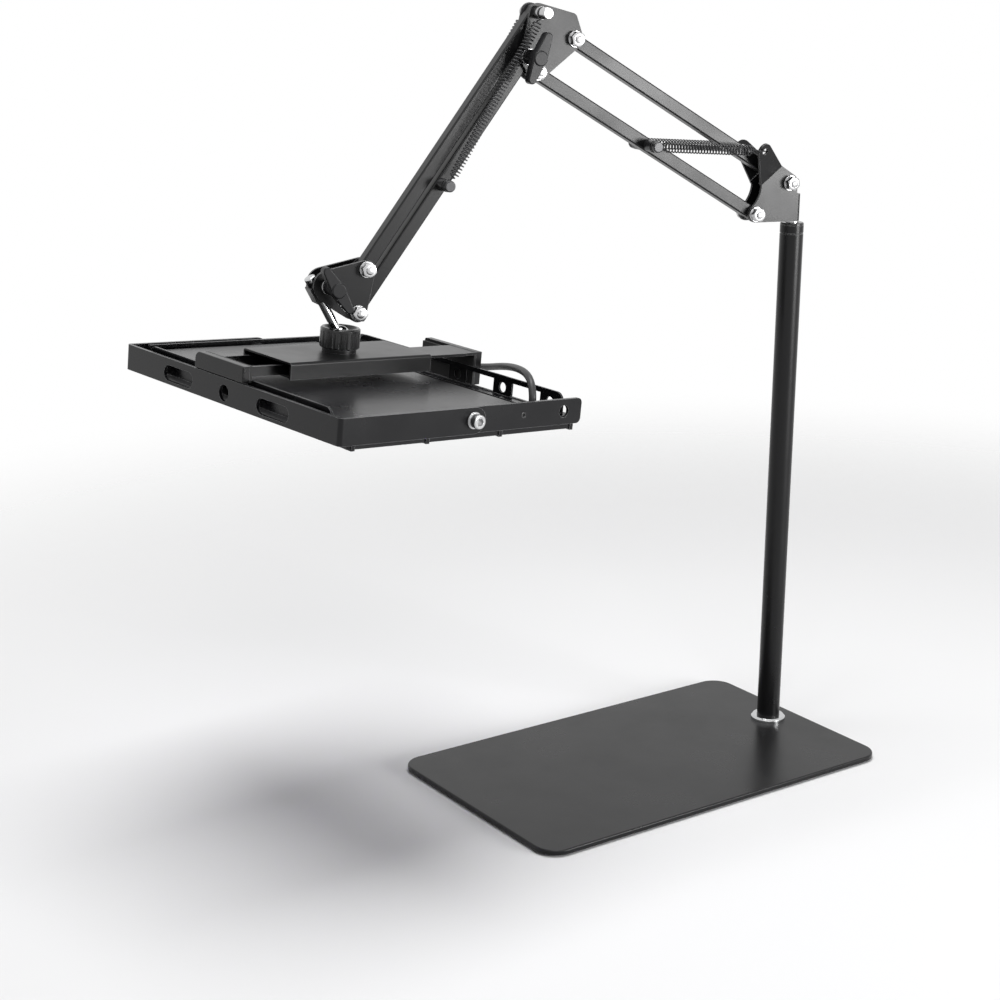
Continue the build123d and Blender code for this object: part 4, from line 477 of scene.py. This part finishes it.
# ---- fasteners ----
BOLT_RADIUS = 3.0
WASHER_RADIUS = 6.0
WASHER_THICKNESS = 1.2
WASHER_CLEARANCE = 0.3       # of its hole round the bolt
WASHER_EDGE = 0.15           # its chamfers
NUT_FLATS = 10.0
NUT_HEIGHT = 5.0
NUT_BORE = BOLT_RADIUS - 0.1
NUT_TURN_FIRST = 0.35        # in radians, how a set's first nut stands
NUT_TURN_STEP = 0.8          # and how much further each next one is turned
HEAD_HEIGHT = 4.0
PLATE_OUTER = 8.0            # from the arm's middle plane to its plates' outer faces
THREAD_PITCH = 1.0
TIP_REACH = 1.4              # of a bolt past its nut
CLAMP_BOLT_REACH = 26.6      # from the middle plane to its end in the wing nut
CARRIAGE_HEAD_RADIUS = 6.6
CARRIAGE_HEAD_RISE = 3.4
CARRIAGE_RIM = 0.5           # height of the head's upright rim
CARRIAGE_STEPS = 8           # in the head's dome
SHANK_SEGMENTS = 24


def washer(piece, matrix):
    """A flat washer with chamfered edges, drawn upwards from its seat."""
    outer, inner, thick = WASHER_RADIUS, BOLT_RADIUS + WASHER_CLEARANCE, WASHER_THICKNESS
    edge = WASHER_EDGE
    profile = [(inner, edge), (inner + edge, 0), (outer - edge, 0), (outer, edge), (outer, thick - edge),
               (outer - edge, thick), (inner + edge, thick), (inner, thick - edge), (inner, edge)]
    piece.turn(profile, matrix)


def bolt_set(piece, point, turn):
    """A bolt through the plates: washers, the nut and the thread's end near, the head far."""
    side = Matrix.Rotation(turn, 3, FAR) @ Vector((0, 0, 1))
    near = stand(point, NEAR, side)
    far = stand(point, FAR, side)
    washer(piece, near @ Matrix.Translation((0, 0, PLATE_OUTER)))
    washer(piece, far @ Matrix.Translation((0, 0, PLATE_OUTER)))
    seat = PLATE_OUTER + WASHER_THICKNESS
    piece.nut(NUT_FLATS, NUT_HEIGHT, NUT_BORE, near @ Matrix.Translation((0, 0, seat)))
    piece.thread(BOLT_RADIUS, seat, seat + NUT_HEIGHT + TIP_REACH, THREAD_PITCH, near)
    piece.nut(NUT_FLATS, HEAD_HEIGHT, 0, far @ Matrix.Translation((0, 0, seat)), (True, False))
    piece.turn([(0, 0), (BOLT_RADIUS, 0), (BOLT_RADIUS, 2 * seat), (0, 2 * seat)],
               near @ Matrix.Translation((0, 0, -seat)), SHANK_SEGMENTS)


def clamp_bolt(piece, point):
    """A carriage bolt: domed head far, a washer and the shank under the wing nut near."""
    near = stand(point, NEAR)
    washer(piece, near @ Matrix.Translation((0, 0, PLATE_OUTER)))
    shank = [(0, -PLATE_OUTER), (BOLT_RADIUS, -PLATE_OUTER), (BOLT_RADIUS, CLAMP_BOLT_REACH),
             (0, CLAMP_BOLT_REACH)]
    piece.turn(shank, near, SHANK_SEGMENTS)
    profile = [(CARRIAGE_HEAD_RADIUS, 0), (CARRIAGE_HEAD_RADIUS, CARRIAGE_RIM)]
    dome = CARRIAGE_HEAD_RISE - CARRIAGE_RIM
    for step in range(1, CARRIAGE_STEPS + 1):
        angle = math.pi / 2 * step / CARRIAGE_STEPS
        profile.append((CARRIAGE_HEAD_RADIUS * math.cos(angle), CARRIAGE_RIM + dome * math.sin(angle)))
    piece.turn([(0, 0), *profile], stand(point, FAR) @ Matrix.Translation((0, 0, PLATE_OUTER)))


def make_fasteners():
    """The bolt sets of the shoulder, the elbow and the head, one piece for each."""
    sets = (
        ("shoulder", (SHOULDER_UPPER, SHOULDER_LOWER), None),
        ("elbow", (ELBOW_REAR_UPPER, ELBOW_REAR_LOWER), ELBOW_FRONT_LOWER),
        ("head", (HEAD_UPPER, HEAD_LOWER), HEAD_CLAMP),
    )
    for body, points, clamp in sets:
        piece = Piece()
        for number, point in enumerate(points):
            bolt_set(piece, point, NUT_TURN_FIRST + NUT_TURN_STEP * number)
        if clamp:
            clamp_bolt(piece, clamp)
        piece.made(body + "_bolt_sets", "zinc_steel", body, [body + "_fasteners"])


# ---- small screws of the lamp ----
LAMP_MIDDLE = -4.5           # v of the lamp's middle plane
COVER_SCREW_STATION = 68.2
COVER_SCREW_LEVEL = -27.3
COVER_SCREW_STEPS = (-92.7, -50.7, -8.7, 8.7, 50.7, 92.7)
SIDE_SCREW_STATION = 65.0
SIDE_SCREW_LEVEL = -23.7
SIDE_FACE = 129.0            # from the middle plane to the side plates' outer faces
COVER_HEAD = (1.5, 1.1, 0.7)   # radius, height and the recess's radius
SCREW_SEGMENTS = 32
SIDE_SCREW_SEGMENTS = 40
SIDE_SCREW_PROFILE = (       # (radius, height from the plate's face)
    (1.55, -1.2), (1.55, 0.2), (1.8, 0.35), (2.25, 0.3), (2.4, 0.0), (2.4, -0.6), (0, -0.6), (0, -1.2),
)


def cross_head(piece, matrix, radius, height, slot):
    """A domed head with a recess, drawn upwards from its seat."""
    profile = [(0, 0), (radius, 0), (radius, height * 0.35)]
    profile += [(radius * 0.86, height * 0.75), (radius * 0.6, height), (slot, height), (0, height * 0.4)]
    piece.turn(profile, matrix, SCREW_SEGMENTS)


def make_small_screws():
    """The cover's screws, and the flush screws of the side plates, each a ring with a deep recess."""
    covers = Piece()
    for step in COVER_SCREW_STEPS:
        seat = stand(lamp_point(COVER_SCREW_STATION, LAMP_MIDDLE + step, COVER_SCREW_LEVEL), LAMP_W)
        cross_head(covers, seat, *COVER_HEAD)
    covers.made("cover_screw_heads", "zinc_steel", "lamp", ["small_screws"])
    sides = Piece()
    for way in (-1, 1):
        face = LAMP_MIDDLE + way * SIDE_FACE
        seat = stand(lamp_point(SIDE_SCREW_STATION, face, SIDE_SCREW_LEVEL), LAMP_V * way)
        sides.turn(SIDE_SCREW_PROFILE, seat, SIDE_SCREW_SEGMENTS)
    sides.made("side_screw_rings", "black_plastic", "lamp", ["small_screws"])


# ---- springs ----
SPRING_STATION = 16.0        # across the arm, of a spring's axis
FRONT_FAR_STATION = 12.2
SPRING_WIRE = 0.52
SPRING_WIRE_SIDES = 8
SPRING_SHARP_ANGLE = math.radians(60)
COIL_PITCH = 2.6
COIL_STEPS = 20              # in each turn
COIL_END_SHARE = 0.25        # of the coil's radius, where the wire leaves it
FRONT_COIL_RADIUS = 3.2
REAR_COIL_RADIUS = 3.7
EYE_RADIUS = 4.0
EYE_GAP = 2.4                # from an eye to the coil
EYE_OPENING = 0.2            # in radians, left open in an eye
EYE_STEPS = 28
REAR_TURNING = (0.4, 1.0)    # shares of a spring's length, near the end above the pivot, where it bows least
FRONT_TURNING = (0.0, 0.5)   # near the end above the pivot, where it bows least
ARM_FORWARD = Vector((0, 0, 1)).cross(FAR).normalized()
EAR_LEVEL = 0.491436         # in metres, of the hole in the yoke's ear
EAR_REACH = 0.039361         # in metres, from the pole's axis forward to that hole
EAR_HOLE = Vector((0, 0, EAR_LEVEL)) + ARM_FORWARD * EAR_REACH


def coil_points(start, end, radius, pitch):
    """A helix between two points, drawn in towards the axis over its last turn at both ends."""
    axis = end - start
    length = axis.length
    z = axis.normalized()
    x = z.orthogonal().normalized()
    y = z.cross(x)
    turns = round(length / (pitch * MM))
    steps = turns * COIL_STEPS
    points = []
    for step in range(steps + 1):
        share = step / steps
        turned = share * turns
        grow = min(1.0, turned, turns - turned)
        angle = 2 * math.pi * turned
        reach = radius * MM * (COIL_END_SHARE + (1 - COIL_END_SHARE) * grow)
        points.append(start + z * (share * length) + (x * math.cos(angle) + y * math.sin(angle)) * reach)
    return points


def eye_points(centre, along, normal):
    """An almost closed loop about a point, ending on the line along which the spring leaves."""
    across = normal.cross(along).normalized()
    points = []
    for step in range(EYE_STEPS + 1):
        angle = EYE_OPENING + (2 * math.pi - EYE_OPENING) * step / EYE_STEPS
        points.append(centre + (along * math.cos(angle) + across * math.sin(angle)) * EYE_RADIUS * MM)
    return points


def arm_spring(name, ends, bodies, node, coil_radius, turning, across, ear_end=False):
    """One arm spring: an eye on a pin, the coil, and an eye on a pin or through the yoke's ear."""
    first, last = [end + across * MM for end in ends]
    along = (last - first).normalized()
    side = across.normalized()
    centre = last - along * EYE_RADIUS * MM if ear_end else last
    normal = along.cross(side).normalized() if ear_end else side
    clear = along * (EYE_RADIUS + EYE_GAP) * MM
    wire = list(reversed(eye_points(first, along, side)))
    wire += coil_points(first + clear, centre - clear, coil_radius, COIL_PITCH)
    wire += eye_points(centre, -along, normal)
    piece = Piece()
    piece.tube(wire, SPRING_WIRE, SPRING_WIRE_SIDES)
    spring = piece.made(name, "spring_steel", None, [node], SPRING_SHARP_ANGLE)
    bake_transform(spring)


def make_springs():
    """Two springs beside the rear arm and two beside the front arm."""
    rear = ((REAR_PIN, EAR_HOLE), ("rear_lower", "shoulder"), "rear_springs", REAR_COIL_RADIUS, REAR_TURNING)
    front = ((ELBOW_FRONT_UPPER, FRONT_PIN), ("elbow", "front_lower"), "front_springs", FRONT_COIL_RADIUS,
             FRONT_TURNING)
    arm_spring("rear_spring_near", *rear, NEAR * SPRING_STATION, True)
    arm_spring("rear_spring_far", *rear, FAR * SPRING_STATION, True)
    arm_spring("front_spring_near", *front, NEAR * SPRING_STATION)
    arm_spring("front_spring_far", *front, FAR * FRONT_FAR_STATION)


# ---- springs in the clamp ----
CLAMP_SPRING_ENDS = (-34.0, 20.0)
CLAMP_SPRING_STATIONS = (-18.0, -11.5)
CLAMP_SPRING_LEVEL = -7.6
CLAMP_COIL_RADIUS = 1.95
CLAMP_COIL_PITCH = 1.15
CLAMP_WIRE = 0.4
CLAMP_WIRE_SIDES = 6
CLAMP_COIL_INSET = 3.0       # of the coil from the spring's ends


def make_clamp_springs():
    """Two springs that draw the sliding jaw towards the fixed one."""
    for number, v in enumerate(CLAMP_SPRING_STATIONS):
        start, end = [lamp_point(u, v, CLAMP_SPRING_LEVEL) for u in CLAMP_SPRING_ENDS]
        inset = LAMP_U * CLAMP_COIL_INSET * MM
        wire = [start, *coil_points(start + inset, end - inset, CLAMP_COIL_RADIUS, CLAMP_COIL_PITCH), end]
        piece = Piece()
        piece.tube(wire, CLAMP_WIRE, CLAMP_WIRE_SIDES)
        spring = piece.made(f"clamp_spring_{number}", "spring_steel", None, ["clamp_springs"],
                            SPRING_SHARP_ANGLE)
        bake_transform(spring)


# ---- lamp lead ----
LEAD_DIAMETER = 5.5
SINK_GLAND_TOP = (86.9, -118.3, -25.9)
COVER_GLAND_END = (67.6, 77.0, -22.6)
LEAD_ROUTE = (
    (86.9, -118.3, -17.7),
    (88.4, -115.2, -10.3),
    (91.2, -109.4, -4.9),
    (96.2, -98.9, -2.2),
    (103.6, -83.8, -2.6),
    (112.5, -64.8, -4.9),
    (122.5, -42.0, -9.4),
    (131.6, -20.5, -14.6),
    (137.6, 0.0, -19.0),
    (138.4, 22.0, -21.6),
    (134.5, 42.0, -22.0),
    (125.5, 58.5, -21.6),
    (112.0, 71.0, -21.2),
    (96.0, 77.0, -22.2),
    (81.0, 77.0, -22.6),
)
LEAD_CURVE_ORDER = 3
LEAD_CURVE_STEPS = 12        # between two of its points
LEAD_BEVEL_STEPS = 6


def make_lead():
    """The lead as one smooth curve along its route, from the sink's gland to the cover's."""
    points = [lamp_point(*point) for point in (SINK_GLAND_TOP, *LEAD_ROUTE, COVER_GLAND_END)]
    curve = bpy.data.curves.new("lamp_lead_run", "CURVE")
    curve.dimensions = "3D"
    spline = curve.splines.new("NURBS")
    spline.points.add(len(points) - 1)
    for control, point in zip(spline.points, points):
        control.co = (*point, 1.0)
    spline.order_u = LEAD_CURVE_ORDER
    spline.use_endpoint_u = True
    spline.resolution_u = LEAD_CURVE_STEPS
    curve.bevel_depth = LEAD_DIAMETER / 2 * MM
    curve.bevel_resolution = LEAD_BEVEL_STEPS
    curve.materials.append(MATERIALS["cable"])
    lead = bpy.data.objects.new("lamp_lead_run", curve)
    bpy.context.scene.collection.objects.link(lead)
    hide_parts("lamp_lead")
    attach(lead, "lamp")


# ---- finishes of the carried-over solids ----
def paint_nodes():
    """Gives every CAD node the material of its slot."""
    slots = {part["node"]: part["material_slot"] for part in frame["record"]["subparts"]}
    for name, node in frame["nodes"].items():
        for material_slot in node.material_slots:
            material_slot.link = "OBJECT"
            material_slot.material = MATERIALS[slots[name]]


# ---- floor and light ----
FLOOR_SIZE = 6.0
FLOOR_COLOUR = (0.93, 0.93, 0.935)
FLOOR_ROUGHNESS = 0.9
FLOOR_FADE = (0.5, 1.3)      # distances over which the floor melts into the backdrop
BOUNCE = 0.1                 # strength of the backdrop as a light
WHITE = (1, 1, 1, 1)
STAND_MIDDLE = (-0.2, 0.0, 0.35)
ARM_MIDDLE = (-0.15, 0.0, 0.45)
SOFTBOXES = {                # places in metres, sizes in metres, power in watts
    "key_softbox": dict(place_m=(-1.2, -1.6, 1.9), aim_m=STAND_MIDDLE, size=(1.2, 0.9), power=10),
    "top_softbox": dict(place_m=(-0.2, 0.2, 2.2), aim_m=STAND_MIDDLE, size=(1.4, 1.0), power=37),
    "arm_softbox": dict(place_m=(0.8, -2.0, 0.42), aim_m=ARM_MIDDLE, size=(0.9, 0.5), power=40),
}


def make_stage():
    """A pale floor that fades out all round, so that no edge of it shows."""
    sheet = bpy.data.meshes.new("floor")
    half = FLOOR_SIZE / 2
    corners = [(-half, -half, 0), (half, -half, 0), (half, half, 0), (-half, half, 0)]
    sheet.from_pydata(corners, [], [(0, 1, 2, 3)])
    floor = bpy.data.objects.new("floor", sheet)
    bpy.context.scene.collection.objects.link(floor)
    material, tree, shader = new_material("floor_paper", FLOOR_COLOUR, FLOOR_ROUGHNESS)
    coordinates = add(tree, "ShaderNodeTexCoord")
    reach = add(tree, "ShaderNodeVectorMath", {"operation": "LENGTH"}, i0=coordinates.outputs["Object"])
    fade = add(tree, "ShaderNodeMapRange", {"interpolation_type": "SMOOTHSTEP"}, Value=reach.outputs["Value"],
               i1=FLOOR_FADE[0], i2=FLOOR_FADE[1], i3=1.0, i4=0.0)
    tree.links.new(fade.outputs["Result"], shader.inputs["Alpha"])
    sheet.materials.append(material)


def make_light(name, place_m, aim_m, size, power):
    """A white rectangular softbox that faces a point."""
    data = bpy.data.lights.new(name, "AREA")
    data.shape = "RECTANGLE"
    data.size, data.size_y = size
    data.energy = power
    light = bpy.data.objects.new(name, data)
    light.location = place_m
    light.rotation_euler = (Vector(aim_m) - Vector(place_m)).to_track_quat("-Z", "Y").to_euler()
    bpy.context.scene.collection.objects.link(light)


def make_lights():
    """The softboxes, and a backdrop that is white to look at but gives little light."""
    for name, settings in SOFTBOXES.items():
        make_light(name, **settings)
    world = bpy.data.worlds.new("studio")
    bpy.context.scene.world = world
    world.use_nodes = True
    tree = world.node_tree
    tree.nodes.clear()
    paths = tree.nodes.new("ShaderNodeLightPath")
    direct = maths(tree, "MAXIMUM", paths.outputs["Is Camera Ray"], paths.outputs["Is Transmission Ray"])
    seen = maths(tree, "MAXIMUM", direct, paths.outputs["Is Glossy Ray"])
    dim = add(tree, "ShaderNodeBackground", Color=WHITE, Strength=BOUNCE)
    bright = add(tree, "ShaderNodeBackground", Color=WHITE, Strength=1.0)
    mixed = add(tree, "ShaderNodeMixShader", i0=seen, i1=dim.outputs[0], i2=bright.outputs[0])
    output = tree.nodes.new("ShaderNodeOutputWorld")
    tree.links.new(mixed.outputs[0], output.inputs["Surface"])


make_camera()
MATERIALS = make_materials()
make_lead()
paint_nodes()
make_fasteners()
make_springs()
make_clamp_springs()
make_small_screws()
make_stage()
make_lights()
bpy.context.scene.view_settings.view_transform = "Standard"
